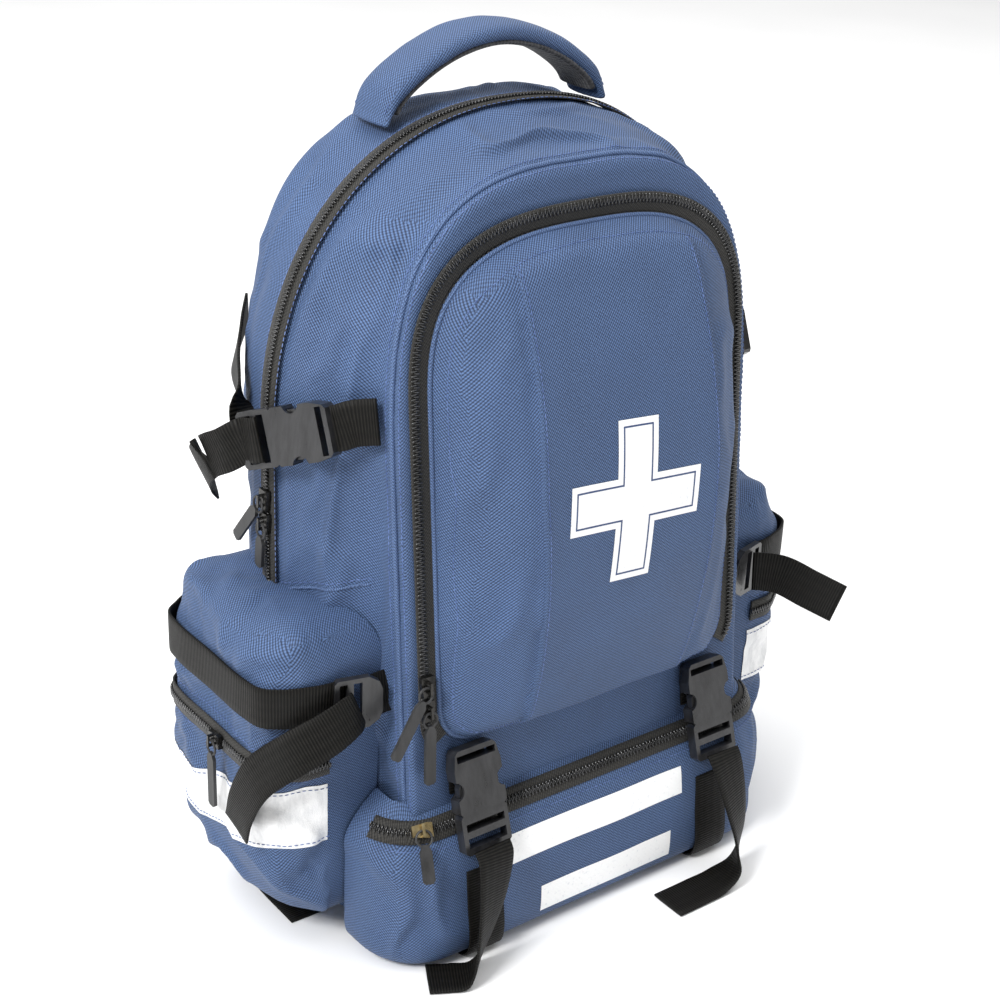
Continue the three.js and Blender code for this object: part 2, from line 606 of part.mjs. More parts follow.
// ---- zip sliders --------------------------------------------------------------------------------------
const quarter = Math.PI / 2;
const wallLean = -Math.atan(FRONT_LEAN * FRONT_DEPTH);
const onFrontZip = (z) => [-(DOOR.half + 9.5), frontY(FRONT_DEPTH, z) - 4.4, z];
slider("main_zip_upper", [-(HALF_WIDTH + 3.2), 0, 264], { turn: -quarter, swing: 0.7 });
slider("main_zip_lower", [-(HALF_WIDTH + 3.2), 0, 250], { turn: -quarter, swing: 0.1, length: 20 });
slider("front_zip_upper", onFrontZip(178), { lean: wallLean, swing: 0.6 });
slider("front_zip_lower", onFrontZip(163), { lean: wallLean, swing: 0.05 });
slider("lower_zip", [-123.8, -107.6, 92.6], { turn: -0.35, lean: -0.685, hang: 0.1, level: true, length: 22 });
for (const [word, side] of [["left", -1], ["right", 1]])
  slider(`side_zip_${word}`, [side * (SIDE_POCKET.outer + 4.9), -14, SIDE_ZIP_HEIGHT], {
    turn: side * quarter,
    level: true,
  });

export default pack;
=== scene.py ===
"""A trauma backpack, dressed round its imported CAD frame: fabric shells, coil zips, webbing and buckles."""
import math

import bmesh
import bpy
import numpy as np
from mathutils import Matrix, Vector, noise
from mathutils.bvhtree import BVHTree


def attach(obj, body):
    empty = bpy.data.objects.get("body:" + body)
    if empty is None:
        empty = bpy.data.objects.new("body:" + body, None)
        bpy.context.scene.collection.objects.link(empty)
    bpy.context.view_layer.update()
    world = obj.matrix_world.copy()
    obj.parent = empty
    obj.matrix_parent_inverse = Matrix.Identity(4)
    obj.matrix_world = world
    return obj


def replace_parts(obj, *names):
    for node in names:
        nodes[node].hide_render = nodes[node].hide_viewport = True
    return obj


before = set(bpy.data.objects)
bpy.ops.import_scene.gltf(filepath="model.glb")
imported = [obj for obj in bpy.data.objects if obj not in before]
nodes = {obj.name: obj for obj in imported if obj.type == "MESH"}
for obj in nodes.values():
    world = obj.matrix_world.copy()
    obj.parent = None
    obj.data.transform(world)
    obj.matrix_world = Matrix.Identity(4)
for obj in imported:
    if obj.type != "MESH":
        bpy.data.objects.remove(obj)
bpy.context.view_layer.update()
MM = 0.001
SIDES = (("left", -1), ("right", 1))

# ---- camera: fitted to the photo
AZIMUTH, ELEVATION, ROLL = (math.radians(a) for a in (-37.91, 25.19, 2.48))
TARGET, DISTANCE, LENS = Vector((0.00518, 0, 0.22241)), 1.13585, 66.9
away = math.cos(ELEVATION)
back = Vector((math.sin(AZIMUTH) * away, -math.cos(AZIMUTH) * away, math.sin(ELEVATION)))
level = Vector((math.cos(AZIMUTH), math.sin(AZIMUTH), 0))
right = level * math.cos(ROLL) + back.cross(level) * math.sin(ROLL)
turn = Matrix((right, back.cross(right), back)).transposed().to_4x4()
camera = bpy.data.objects.new("camera", bpy.data.cameras.new("camera"))
camera.data.lens, camera.data.sensor_width, camera.data.clip_start = LENS, 36, 0.05
camera.matrix_world = Matrix.Translation(TARGET + back * DISTANCE) @ turn
bpy.context.scene.collection.objects.link(camera)
bpy.context.scene.camera = camera


# ---- materials
STRIPE = 0.314  # a wave texture of this scale has one stripe per metre


class Nodes:
    """A short way to write a node tree."""

    def __init__(self, name):
        self.material = bpy.data.materials.new(name)
        self.material.use_nodes = True
        self.tree = self.material.node_tree
        self.shader = self.tree.nodes["Principled BSDF"]

    def add(self, kind, values=None, **settings):
        node = self.tree.nodes.new("ShaderNode" + kind)
        for key, value in settings.items():
            setattr(node, key, value)
        for key, value in (values or {}).items():
            if isinstance(value, bpy.types.NodeSocket):
                self.tree.links.new(value, node.inputs[key])
            else:
                node.inputs[key].default_value = value
        return node

    def place(self, scale=(1, 1, 1), turn=(0, 0, 0), source="Object"):
        coordinates = self.add("TexCoord").outputs[source]
        return self.add("Mapping", {"Vector": coordinates, "Scale": scale, "Rotation": turn}).outputs["Vector"]

    def wave(self, vector, scale, direction="X"):
        settings = {"bands_direction": direction, "wave_profile": "SIN"}
        node = self.add("TexWave", {"Vector": vector, "Scale": scale}, **settings)
        return node.outputs["Fac"]

    def noise(self, vector, scale, detail=2.0, roughness=0.5):
        values = {"Vector": vector, "Scale": scale, "Detail": detail, "Roughness": roughness}
        return self.add("TexNoise", values).outputs["Fac"]

    def math(self, operation, a, b):
        return self.add("Math", {0: a, 1: b}, operation=operation).outputs[0]

    def ramp(self, value, stops):
        node = self.add("ValToRGB", {"Fac": value})
        elements = node.color_ramp.elements
        while len(elements) < len(stops):
            elements.new(0.5)
        for element, (position, color) in zip(elements, stops):
            element.position, element.color = position, (*color, 1)
        return node.outputs["Color"]

    def span(self, value, low, high):
        return self.add("MapRange", {"Value": value, "To Min": low, "To Max": high}).outputs["Result"]

    def bump(self, height, distance):
        node = self.add("Bump", {"Height": height, "Distance": distance, "Strength": 1.0})
        self.tree.links.new(node.outputs["Normal"], self.shader.inputs["Normal"])

    def finish(self, color, roughness, **sockets):
        for key, value in {"Base Color": color, "Roughness": roughness, **sockets}.items():
            key = key.replace("_", " ")
            if isinstance(value, bpy.types.NodeSocket):
                self.tree.links.new(value, self.shader.inputs[key])
            else:
                self.shader.inputs[key].default_value = (*value, 1) if isinstance(value, tuple) else value
        return self.material


def woven(name, dark, light, thread=0.00125, sheen=0.05):
    """Coarse polyester: a twill of bright threads, uneven from thread to thread, with soft wear and dust."""
    n = Nodes(name)
    space = n.place()
    scale = STRIPE / thread
    twill = n.wave(n.place(turn=(0, 0, 0.72), source="UV"), scale)
    cross = n.wave(n.place(turn=(0, 0, -0.95), source="UV"), scale * 0.8)
    weave = n.math("MULTIPLY", n.span(twill, 0.25, 1), n.span(cross, 0.55, 1))
    uneven = n.noise(n.place((1, 0.6, 1), source="UV"), 1300, 3, 0.8)
    cloudy = n.noise(space, 16, 5, 0.62)
    shade = n.math("MULTIPLY", weave, n.span(uneven, 0.1, 1.9))
    shade = n.math("MULTIPLY", shade, n.span(cloudy, 0.72, 1.25))
    color = n.ramp(shade, [(0.1, dark), (0.85, light)])
    n.bump(n.math("ADD", weave, n.math("MULTIPLY", uneven, 0.6)), 0.00025)
    gloss = {"Sheen_Weight": sheen, "Sheen_Roughness": 0.4, "Specular_IOR_Level": 0.35}
    return n.finish(color, n.span(cloudy, 0.55, 0.8), **gloss)


def webbing_material(name, dark, light):
    """Ribbed webbing: ribs across the strap along U, and rows of threads across V."""
    n = Nodes(name)
    uv = n.place(source="UV")
    rib = n.wave(uv, STRIPE / 0.0017, "X")
    rows = n.wave(uv, STRIPE / 0.0062, "Y")
    uneven = n.noise(n.place(), 1400, 2, 0.7)
    height = n.math("MULTIPLY", n.span(rib, 0.2, 1), n.span(rows, 0.8, 1))
    shade = n.math("MULTIPLY", height, n.span(uneven, 0.3, 1.5))
    color = n.ramp(shade, [(0.15, dark), (0.95, light)])
    n.bump(n.math("ADD", height, n.math("MULTIPLY", uneven, 0.3)), 0.00035)
    return n.finish(color, n.span(uneven, 0.42, 0.62), Specular_IOR_Level=0.15)


def moulded(name, dark, light, rough=(0.28, 0.45), grain=0.00006, metallic=0.0, **extra):
    """Moulded or painted: a fine grain, slight flow marks and scuffs that catch the light."""
    n = Nodes(name)
    space = n.place()
    grainy = n.noise(space, 1600, 3, 0.6)
    scuffs = n.noise(n.place((1, 1, 0.2)), 160, 4, 0.65)
    color = n.ramp(scuffs, [(0.35, dark), (0.75, light)])
    n.bump(n.math("ADD", grainy, scuffs), grain)
    return n.finish(color, n.span(scuffs, *rough), Metallic=metallic, **extra)


def spacer_mesh(name, size=0.0028):
    """Black air mesh: rounded cells of one size, with painted shade in the hollows between them."""
    n = Nodes(name)
    space = n.place()
    cells = n.add("TexVoronoi", {"Vector": space, "Scale": 1 / size, "Randomness": 0.35}).outputs["Distance"]
    uneven = n.noise(space, 700, 2, 0.6)
    # painted shade: the colour darkens with the same cell distance that sinks the bump, so the hollows are
    # painted darker
    shade = n.math("MULTIPLY", cells, n.span(uneven, 0.6, 1.3))
    n.bump(cells, 0.0009)
    color = n.ramp(shade, [(0.2, (0.012, 0.012, 0.013)), (0.75, (0.06, 0.06, 0.065))])
    return n.finish(color, 0.8, Sheen_Weight=0.2)


def reflective(name):
    """Silver-white reflective tape: tiny glass beads over a faint fabric grain, with grey scuffs."""
    n = Nodes(name)
    space = n.place()
    glass = n.add("TexVoronoi", {"Vector": space, "Scale": 1500}).outputs["Distance"]
    scuffs = n.noise(n.place((1, 1, 0.4)), 60, 5, 0.7)
    color = n.ramp(scuffs, [(0.3, (0.55, 0.56, 0.57)), (0.55, (0.86, 0.86, 0.86))])
    n.bump(n.math("ADD", glass, scuffs), 0.00012)
    return n.finish(color, n.span(scuffs, 0.3, 0.45), Metallic=0.15, Coat_Weight=0.2)


def print_ink(name, color=(0.9, 0.9, 0.9), worn=(0.72, 0.73, 0.76)):
    """Screen print: solid ink over the weave, thinner in small worn spots."""
    n = Nodes(name)
    space = n.place()
    specks = n.noise(space, 420, 4, 0.7)
    twill = n.wave(space, STRIPE / 0.0016, "DIAGONAL")
    n.bump(n.math("ADD", twill, specks), 0.0001)
    return n.finish(n.ramp(specks, [(0.3, worn), (0.42, color)]), n.span(specks, 0.5, 0.7))


NAVY = woven("navy_polyester", (0.005, 0.010, 0.030), (0.098, 0.170, 0.340))
NAVY_SEAM = woven("navy_piping", (0.015, 0.03, 0.08), (0.12, 0.195, 0.37), thread=0.0011, sheen=0.04)
LINING = woven("navy_lining", (0.01, 0.022, 0.06), (0.05, 0.085, 0.2), thread=0.0012)
WEB = webbing_material("black_webbing", (0.001, 0.001, 0.001), (0.014, 0.013, 0.011))
TAPE = woven("zip_tape", (0.004, 0.004, 0.004), (0.045, 0.043, 0.038), thread=0.0013, sheen=0.1)
COIL = moulded("zip_coil", (0.008, 0.008, 0.008), (0.05, 0.05, 0.052), (0.16, 0.28), Coat_Weight=0.3)
ACETAL = moulded("black_acetal", (0.007, 0.007, 0.008), (0.03, 0.03, 0.032), (0.2, 0.42),
                 Coat_Weight=0.25, Coat_Roughness=0.25)
SLIDER = moulded("slider_black", (0.01, 0.01, 0.01), (0.05, 0.048, 0.045), (0.16, 0.34), metallic=0.75)
BRASS = moulded("slider_brass", (0.30, 0.22, 0.10), (0.62, 0.52, 0.30), (0.18, 0.4), metallic=1.0)
RUBBER = moulded("pull_rubber", (0.012, 0.012, 0.012), (0.04, 0.04, 0.042), (0.45, 0.65), grain=0.0001)
AIR_MESH = spacer_mesh("air_mesh")
HANDLE_MESH = spacer_mesh("handle_mesh", size=0.0024)
FOAM = moulded("foam_board", (0.03, 0.03, 0.03), (0.09, 0.09, 0.09), (0.8, 0.95), grain=0.0004)
SILVER = reflective("reflective_tape")
INK = print_ink("white_print")
INK_LINE = print_ink("print_inset", (0.03, 0.06, 0.16), (0.05, 0.09, 0.22))
THREAD = moulded("navy_thread", (0.05, 0.09, 0.24), (0.16, 0.24, 0.5), (0.5, 0.7))
THREAD_BLACK = moulded("black_thread", (0.012, 0.012, 0.012), (0.05, 0.05, 0.05), (0.5, 0.7))

WOVEN = (NAVY, NAVY_SEAM, LINING, TAPE)


# ---- mesh helpers; points are in millimetres
def link(piece, material, body="bag"):
    piece.data.materials.append(material)
    bpy.context.scene.collection.objects.link(piece)
    if body:
        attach(piece, body)
    return piece


def fetch(collection, name, width=1, kind=float):
    """An attribute of every item in a mesh collection, as an array."""
    values = np.zeros(len(collection) * width, kind)
    collection.foreach_get(name, values)
    return values.reshape(-1, width) if width > 1 else values


def make(name, points, faces, material, body="bag", uvs=None):
    mesh = bpy.data.meshes.new(name)
    places = (np.asarray(points, float) * MM).tolist()
    mesh.from_pydata(places, [], [tuple(int(i) for i in f) for f in faces])
    if uvs is not None:
        layer = mesh.uv_layers.new(name="UVMap")
        loops = fetch(mesh.loops, "vertex_index", kind=int)
        layer.data.foreach_set("uv", (np.asarray(uvs, float)[loops] * MM).ravel())
    mesh.validate()
    mesh.polygons.foreach_set("use_smooth", [True] * len(mesh.polygons))
    turned = bmesh.new()
    turned.from_mesh(mesh)
    bmesh.ops.recalc_face_normals(turned, faces=turned.faces)
    turned.to_mesh(mesh)
    turned.free()
    piece = link(bpy.data.objects.new(name, mesh), material, body)
    if uvs is None and material in WOVEN:
        flat_weave(piece)
    return piece


def flat_weave(piece):
    """Lays the weave flat on each face: UVs in metres, from the two axes that the face looks along least."""
    mesh = piece.data
    facing = np.argmax(np.abs(fetch(mesh.polygons, "normal", 3)), axis=1)
    axis = np.repeat(facing, fetch(mesh.polygons, "loop_total", kind=int))
    corners = fetch(mesh.vertices, "co", 3)[fetch(mesh.loops, "vertex_index", kind=int)]
    u = np.choose(axis, [corners[:, 1], corners[:, 0], corners[:, 0]])
    v = np.choose(axis, [corners[:, 2], corners[:, 2], corners[:, 1]])
    layer = mesh.uv_layers.get("UVMap") or mesh.uv_layers.new(name="UVMap")
    layer.data.foreach_set("uv", np.stack([u, v], 1).ravel())


def grid_faces(rows, columns, closed):
    faces = []
    for r in range(rows - 1):
        for c in range(columns if closed else columns - 1):
            d = (c + 1) % columns
            faces.append((r * columns + c, r * columns + d, (r + 1) * columns + d, (r + 1) * columns + c))
    return faces


def strip_cap(first, count):
    """Closes a ring that is symmetric about its first point."""
    faces = []
    for i in range(count // 2):
        a, b = first + i, first + i + 1
        c, d = first + (count - 1 - i) % count, first + (count - i) % count
        faces.append((a, b, c) if a == d else (a, b, c, d) if b != c else (a, b, d))
    return faces


def smooth_path(points, count):
    """`count` even steps on a smooth curve through the points."""
    p = np.asarray(points, float)
    p = np.vstack([2 * p[0] - p[1], p, 2 * p[-1] - p[-2]])
    dense = []
    for a, b, c, d in zip(p, p[1:], p[2:], p[3:]):
        t0 = 0.0
        t1 = t0 + max(np.linalg.norm(b - a), 1e-6) ** 0.5
        t2 = t1 + max(np.linalg.norm(c - b), 1e-6) ** 0.5
        t3 = t2 + max(np.linalg.norm(d - c), 1e-6) ** 0.5
        t = np.linspace(t1, t2, 24, endpoint=False)[:, None]
        a1 = (t1 - t) / (t1 - t0) * a + (t - t0) / (t1 - t0) * b
        a2 = (t2 - t) / (t2 - t1) * b + (t - t1) / (t2 - t1) * c
        a3 = (t3 - t) / (t3 - t2) * c + (t - t2) / (t3 - t2) * d
        b1 = (t2 - t) / (t2 - t0) * a1 + (t - t0) / (t2 - t0) * a2
        b2 = (t3 - t) / (t3 - t1) * a2 + (t - t1) / (t3 - t1) * a3
        dense.append((t2 - t) / (t2 - t1) * b1 + (t - t1) / (t2 - t1) * b2)
    dense = np.vstack([*dense, p[-2:-1]])
    return resample(dense, count)


def resample(points, count):
    points = np.asarray(points, float)
    along = np.r_[0, np.cumsum(np.linalg.norm(np.diff(points, axis=0), axis=1))]
    wanted = np.linspace(0, along[-1], count)
    return np.stack([np.interp(wanted, along, points[:, k]) for k in range(points.shape[1])], 1)


def sided(side, *points):
    """Points given for the right side, on one side."""
    return [(x * side, y, z) for x, y, z in points]


def length_of(points):
    return float(np.linalg.norm(np.diff(points, axis=0), axis=1).sum())


def unit(v):
    return v / np.maximum(np.linalg.norm(v, axis=-1, keepdims=True), 1e-9)


def tangents(points):
    return unit(np.gradient(points, axis=0))


def strip_axes(line, across, across_end):
    """A strip's directions of width and thickness; its width turns from `across` to `across_end`."""
    t = tangents(line)
    share = np.linspace(0, 1, len(line))[:, None]
    last = across if across_end is None else across_end
    wide = np.asarray(across, float) * (1 - share) + np.asarray(last, float) * share
    wide = unit(wide - (wide * t).sum(1, keepdims=True) * t)
    return wide, np.cross(t, wide)


def strip_faces(count, round_it):
    """The faces of a strip of `count` rings with `round_it` points each, closed at both ends."""
    ends = [tuple(range(round_it))[::-1], tuple(range((count - 1) * round_it, count * round_it))]
    return grid_faces(count, round_it, True) + ends


SELVEDGES = ((-1, -0.45), (-0.97, -0.9), (-0.6, -1), (0, -1), (0.6, -1), (0.97, -0.9), (1, -0.45),
             (1, 0.45), (0.97, 0.9), (0.6, 1), (0, 1), (-0.6, 1), (-0.97, 0.9), (-1, 0.45))
CURL_LENGTH = 23.0
UPPER_FACE = 30  # how far the upper face's UVs lie beside the lower face's


def ribbon(name, route, across, across_end=None, width=25.0, thick=1.7, body="bag",
           material=WEB, curl=0.0):
    """Webbing on a smooth route, with rounded selvedges. Its width runs along `across`."""
    rough = smooth_path(route, 200)
    count = max(10, int(length_of(rough) / 2.5))
    line = resample(rough, count)
    wide, up = strip_axes(line, across, across_end)
    along = np.linspace(0, length_of(line), count)
    points, uvs = [], []
    for u, v in SELVEDGES:
        cup = curl * (u * u - 0.5) * np.sin(along / CURL_LENGTH)[:, None]
        points.append(line + wide * (u * width / 2) + up * (v * thick / 2 + cup))
        uvs.append(np.stack([along, np.full(count, u * width / 2 + (UPPER_FACE if v > 0 else 0))], 1))
    points = np.stack(points, 1).reshape(-1, 3)
    uvs = np.stack(uvs, 1).reshape(-1, 2)
    return make(name, points, strip_faces(count, len(SELVEDGES)), material, body, uvs)


def zip_tape(name, line, normals, half=7.2, thick=0.9, columns=5):
    """The tape that a zip's coil is sewn on: `half` to each side of a line, and `thick` above it."""
    side = unit(np.cross(tangents(line), normals))
    across = np.linspace(-half, half, columns)
    top = [line + side * a + normals * thick for a in across]
    under = [line + side * a for a in across[::-1]]
    rings = np.stack(top + under, 1)
    return make(name, rings.reshape(-1, 3), strip_faces(len(line), 2 * columns), TAPE, "bag")


def piping(name, line, radius, body="bag"):
    """Round navy piping or binding along a line."""
    sides = 8
    t = tangents(line)
    first = unit(np.cross(t, [0.31, 0.17, 0.94]))
    second = np.cross(t, first)
    angles = np.linspace(0, 2 * math.pi, sides, endpoint=False)
    rings = np.stack([line + radius * (first * math.cos(a) + second * math.sin(a)) for a in angles], 1)
    faces = strip_faces(len(line), sides)
    return make(name, rings.reshape(-1, 3), faces, NAVY_SEAM, body)


CAPSULE = ((-0.88, 0.7), (-0.45, 1.0), (0.45, 1.0), (0.88, 0.7))  # reach and girth of each ring


def beads(name, centres, long_axis, short_axis, half_length, half_width, half_height, material, body):
    """Many small rounded bars: the teeth of a coil, or the stitches of a seam."""
    up_axis = np.cross(long_axis, short_axis)
    ring = 6
    angles = [2 * math.pi * k / ring for k in range(ring)]
    points, faces = [], []
    per = 2 + 4 * ring
    for centre, a, b, c in zip(centres, long_axis, short_axis, up_axis):
        base = len(points)
        points.append(centre - a * half_length)
        for reach, girth in CAPSULE:
            for angle in angles:
                over, up = math.cos(angle) * half_width * girth, math.sin(angle) * half_height * girth
                points.append(centre + a * (reach * half_length) + (b * over + c * up))
        points.append(centre + a * half_length)
        for k in range(ring):
            faces.append((base, base + 1 + (k + 1) % ring, base + 1 + k))
            faces.append((base + per - 1, base + per - 1 - ring + k, base + per - 1 - ring + (k + 1) % ring))
            for r in range(3):
                p, q = base + 1 + r * ring + k, base + 1 + r * ring + (k + 1) % ring
                faces.append((p, q, q + ring, p + ring))
    return make(name, points, faces, material, body)


def stretch(normals, count):
    """The same normals over another number of points."""
    share = np.linspace(0, len(normals) - 1, count)
    return unit(np.stack([np.interp(share, np.arange(len(normals)), normals[:, k]) for k in range(3)], 1))


def spaced(line, normals, step):
    """Points every `step` along a line, with its normals and tangents there."""
    count = max(3, int(length_of(line) / step))
    p = resample(line, count)
    return p, stretch(normals, count), tangents(p)


def coil(name, line, normals, pitch=1.1, reach=1.7):
    """A closed coil zip: two rows of slanting teeth that mesh in the middle."""
    p, n, t = spaced(line, normals, pitch)
    side = unit(np.cross(t, n))
    sign = np.where(np.arange(len(p)) % 2, 1.0, -1.0)[:, None]
    centres = p + side * sign * 0.75 + n * 0.9
    slant = unit(side + t * 0.12 * sign)
    return beads(name, centres, slant, unit(np.cross(n, slant)), reach, 0.5, 0.85, COIL, "bag")


def stitches(name, line, normals, body="bag", material=THREAD, lift=0.15):
    """A row of stitches `lift` above a line."""
    p, n, t = spaced(line, normals, 3.3)
    return beads(name, p + n * lift, t, unit(np.cross(n, t)), 1.15, 0.28, 0.28 * 0.8, material, body)


def normals_of(mesh):
    return fetch(mesh.vertex_normals, "vector", 3, np.float32).astype(float)


def read(piece):
    return fetch(piece.data.vertices, "co", 3, np.float32).astype(float) / MM


def write(piece, points):
    piece.data.vertices.foreach_set("co", (points * MM).astype(np.float32).ravel())
    piece.data.update()


def crumple(points, cycles, seed):
    """Smooth noise from -1 to 1 at each point, with `cycles` per millimetre along each axis."""
    scaled = points * np.asarray(cycles, float) + seed
    return np.array([noise.fractal(Vector(p), 1.0, 2.0, 2) for p in scaled])


def creases(points, cycles, seed):
    """Narrow ridges between broad hollows, as in slack fabric: from 0 to 1."""
    return np.clip(1 - np.abs(crumple(points, cycles, seed)) * 3.2, 0, 1) ** 1.3


def push(piece, move):
    """Moves a piece's points along their normals."""
    write(piece, read(piece) + normals_of(piece.data) * move[:, None])


CLOTH_FRAMES, STIFFNESS = 16, 8.0


def relax(piece, pinned, grow, pressure, cap):
    """Lets fabric settle as cloth: pinned along its seams, cut too large by `grow`, with air behind it.

    No point moves further than `cap`.
    """
    rest = read(piece)
    group = piece.vertex_groups.new(name="pin")
    group.add([int(i) for i in np.nonzero(pinned)[0]], 1.0, "REPLACE")
    cloth = piece.modifiers.new("cloth", "CLOTH")
    s = cloth.settings
    s.quality, s.mass, s.air_damping = 5, 0.25, 4.0
    s.tension_stiffness = s.compression_stiffness = STIFFNESS
    s.shear_stiffness, s.bending_stiffness = STIFFNESS * 0.5, 0.3
    s.vertex_group_mass = "pin"
    s.shrink_min = -grow
    s.use_pressure, s.uniform_pressure_force = True, pressure
    s.effector_weights.gravity = 0.0
    cloth.point_cache.frame_start, cloth.point_cache.frame_end = 1, CLOTH_FRAMES
    scene = bpy.context.scene
    for f in range(1, CLOTH_FRAMES + 1):
        scene.frame_set(f)
    settled = piece.evaluated_get(bpy.context.evaluated_depsgraph_get()).to_mesh()
    moved = fetch(settled.vertices, "co", 3, np.float32).astype(float) / MM - rest
    piece.modifiers.remove(cloth)
    scene.frame_set(1)
    far = np.linalg.norm(moved, axis=1, keepdims=True)
    write(piece, rest + moved * np.minimum(1, cap / np.maximum(far, 1e-6)))


def subdivide(piece):
    modifier = piece.modifiers.new("subdivision", "SUBSURF")
    modifier.levels = modifier.render_levels = 1


def surface(piece):
    """A tree of the piece's final surface, for laying things on it."""
    return BVHTree.FromObject(piece, bpy.context.evaluated_depsgraph_get())


def lay(points, normals, tree, lift, reach=26.0):
    """Moves points along their normals onto a surface and `lift` above it."""
    laid = np.array(points, float)
    for i, (p, n) in enumerate(zip(np.asarray(points, float), normals)):
        start = Vector((p + n * reach) * MM)
        hit = tree.ray_cast(start, Vector(-n), 2 * reach * MM)[0]
        if hit is not None:
            laid[i] = np.array(hit) / MM + n * lift
    return laid


# ---- the pack's shape; the same curves as its CAD shells
SEAM, DEPTH, LEAN = 5.0, 108.0, 0.00088
ZIP_END, SHOULDER = 218.0, 300
AHEAD = [0.0, -1.0, 0.0]
CLEAR = -150.0  # a depth in front of everything, from which lines are laid on the pack's front


def front_y(depth, z):
    return -(SEAM + (depth - SEAM) * (1 - LEAN * np.asarray(z, float)))


def arch(half, top, bottom, corner, shoulder, power, side=150, floor=26):
    """A closed outline seen from the front, even steps, from the middle of its foot round by the right."""
    a = np.linspace(-math.pi / 2, 0, 12)
    t = np.linspace(0, math.pi / 2, 160)
    across, rise = np.maximum(0, np.cos(t)) ** (2 / power), np.sin(t) ** (2 / power)
    right = np.vstack([
        np.c_[half - corner + corner * np.cos(a), bottom + corner + corner * np.sin(a)],
        np.c_[half * across, shoulder + (top - shoulder) * rise],
    ])
    foot = np.c_[np.linspace(0, half - corner, floor, endpoint=False), np.full(floor, float(bottom))]
    half_ring = np.vstack([foot, resample(right, side)])
    mirror = half_ring[1:-1][::-1] * [-1, 1]
    return np.vstack([half_ring, mirror])


# depth (or y), half width, top, lift and power of each ring
FRONT = ((5, 156, 469, 0, 2.23), (30, 152, 468, 0, 2.3), (55, 143, 463, 0, 2.5), (80, 128.6, 457, 0, 2.7),
         (98, 125.5, 452, 0, 2.9), (105, 124, 448, 3, 3), (108, 121, 443, 10, 3.1))
REAR = ((5, 156, 469, 0, 2.23), (24, 154, 469, 0, 2.3), (42, 147, 468, 0, 2.5), (54, 139, 463, 3, 3),
        (60, 131, 457, 9, 3.3), (62, 119, 446, 20, 3.2))


def shell_rings(table, rows, place):
    """Rings from a table, and place(depth, z) gives their y."""
    params = smooth_path(np.array(table, float), rows)
    params[:, 3] = np.maximum(0, params[:, 3])
    rings = []
    for at, half, top, lift, power in params:
        xz = arch(half, top, lift, 30, SHOULDER, power)
        rings.append(np.c_[xz[:, 0], place(at, xz[:, 1]), xz[:, 1]])
    return rings


def wall_rings(table, place, rows):
    """Rings that close the flat wall beyond a table's last ring inwards to a slit."""
    _, half, top, lift, power = table[-1]
    rings = []
    for share in np.linspace(0, 1, rows + 1)[1:]:
        inset, rise = share * (half - 0.8), share * 70
        xz = arch(half - inset, top - rise, lift + rise, min(30, half - inset), SHOULDER, power)
        rings.append(np.c_[xz[:, 0], place(xz[:, 1]), xz[:, 1]])
    return rings


def half_width(y, z):
    """Half the pack's width at a depth and a height, on its straight sides."""
    if y < 0:
        place = SEAM + (-y - SEAM) / (1 - LEAN * z)
        return float(np.interp(place, [r[0] for r in FRONT], [r[1] for r in FRONT]))
    return float(np.interp(y, [r[0] for r in REAR], [r[1] for r in REAR]))


def skin(name, rings, material, body="bag"):
    """A closed skin through rings; the last ring is filled."""
    rings = [np.asarray(r, float) for r in rings]
    count = len(rings[0])
    faces = grid_faces(len(rings), count, True) + strip_cap((len(rings) - 1) * count, count)
    return make(name, np.vstack(rings), faces, material, body)


# ---- front shell and rear shell
FRONT_ROWS, WALL_ROWS, REAR_ROWS = 38, 14, 26
rings = shell_rings(FRONT, FRONT_ROWS, front_y)
rings += wall_rings(FRONT, lambda z: front_y(DEPTH, z), WALL_ROWS)
bag_front = skin("bag_front", rings, NAVY)
columns = len(rings[0])
row_of = np.repeat(np.arange(len(rings)), columns)
points = read(bag_front)
edge_row = int(np.argmin([abs(r[60, 1] - front_y(99, r[60, 2])) for r in rings[:FRONT_ROWS]]))
pinned = (row_of == 0) | (row_of == edge_row) | (row_of >= FRONT_ROWS - 1) | (points[:, 2] < 4)
relax(bag_front, pinned, grow=0.02, pressure=1.2, cap=4.0)


def front_folds(points):
    """Slack folds that run up the gussets and fan over the top, and puckers along the seams."""
    between = np.sin(np.pi * np.clip((row_of - 1) / (edge_row - 1), 0, 1)) ** 0.7
    long_folds = creases(points, (0.016, 0.028, 0.0052), 11.3) - 0.35
    cross_folds = creases(points, (0.012, 0.02, 0.026), 4.7) - 0.3
    low = np.clip(1 - (points[:, 2] - 110) / 160, 0, 1)
    move = (row_of < edge_row) * between * (5.5 * long_folds + (2.0 + 4.0 * low) * cross_folds - 1.8)
    pucker = crumple(points, (0.10, 0.10, 0.10), 8.1) * 0.35
    near = np.exp(-np.abs(row_of - edge_row) / 2.0) + np.exp(-row_of / 2.0)
    valley = -2.2 * np.exp(-((row_of - edge_row) / 1.3) ** 2) - 1.6 * np.exp(-((row_of - 1.5) / 1.2) ** 2)
    rim = (row_of > edge_row) & (row_of < FRONT_ROWS)
    return move + near * pucker * 2.5 + valley + rim * crumple(points, (0.02, 0.02, 0.02), 2.2) * 0.6


push(bag_front, front_folds(read(bag_front)))
subdivide(bag_front)
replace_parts(bag_front, "front_shell")


def rear_y(y, z):
    """Below the main zip the rear shell starts inside the front shell."""
    return np.where(z < ZIP_END, np.where(y < 5.5, -4.6, y), y)


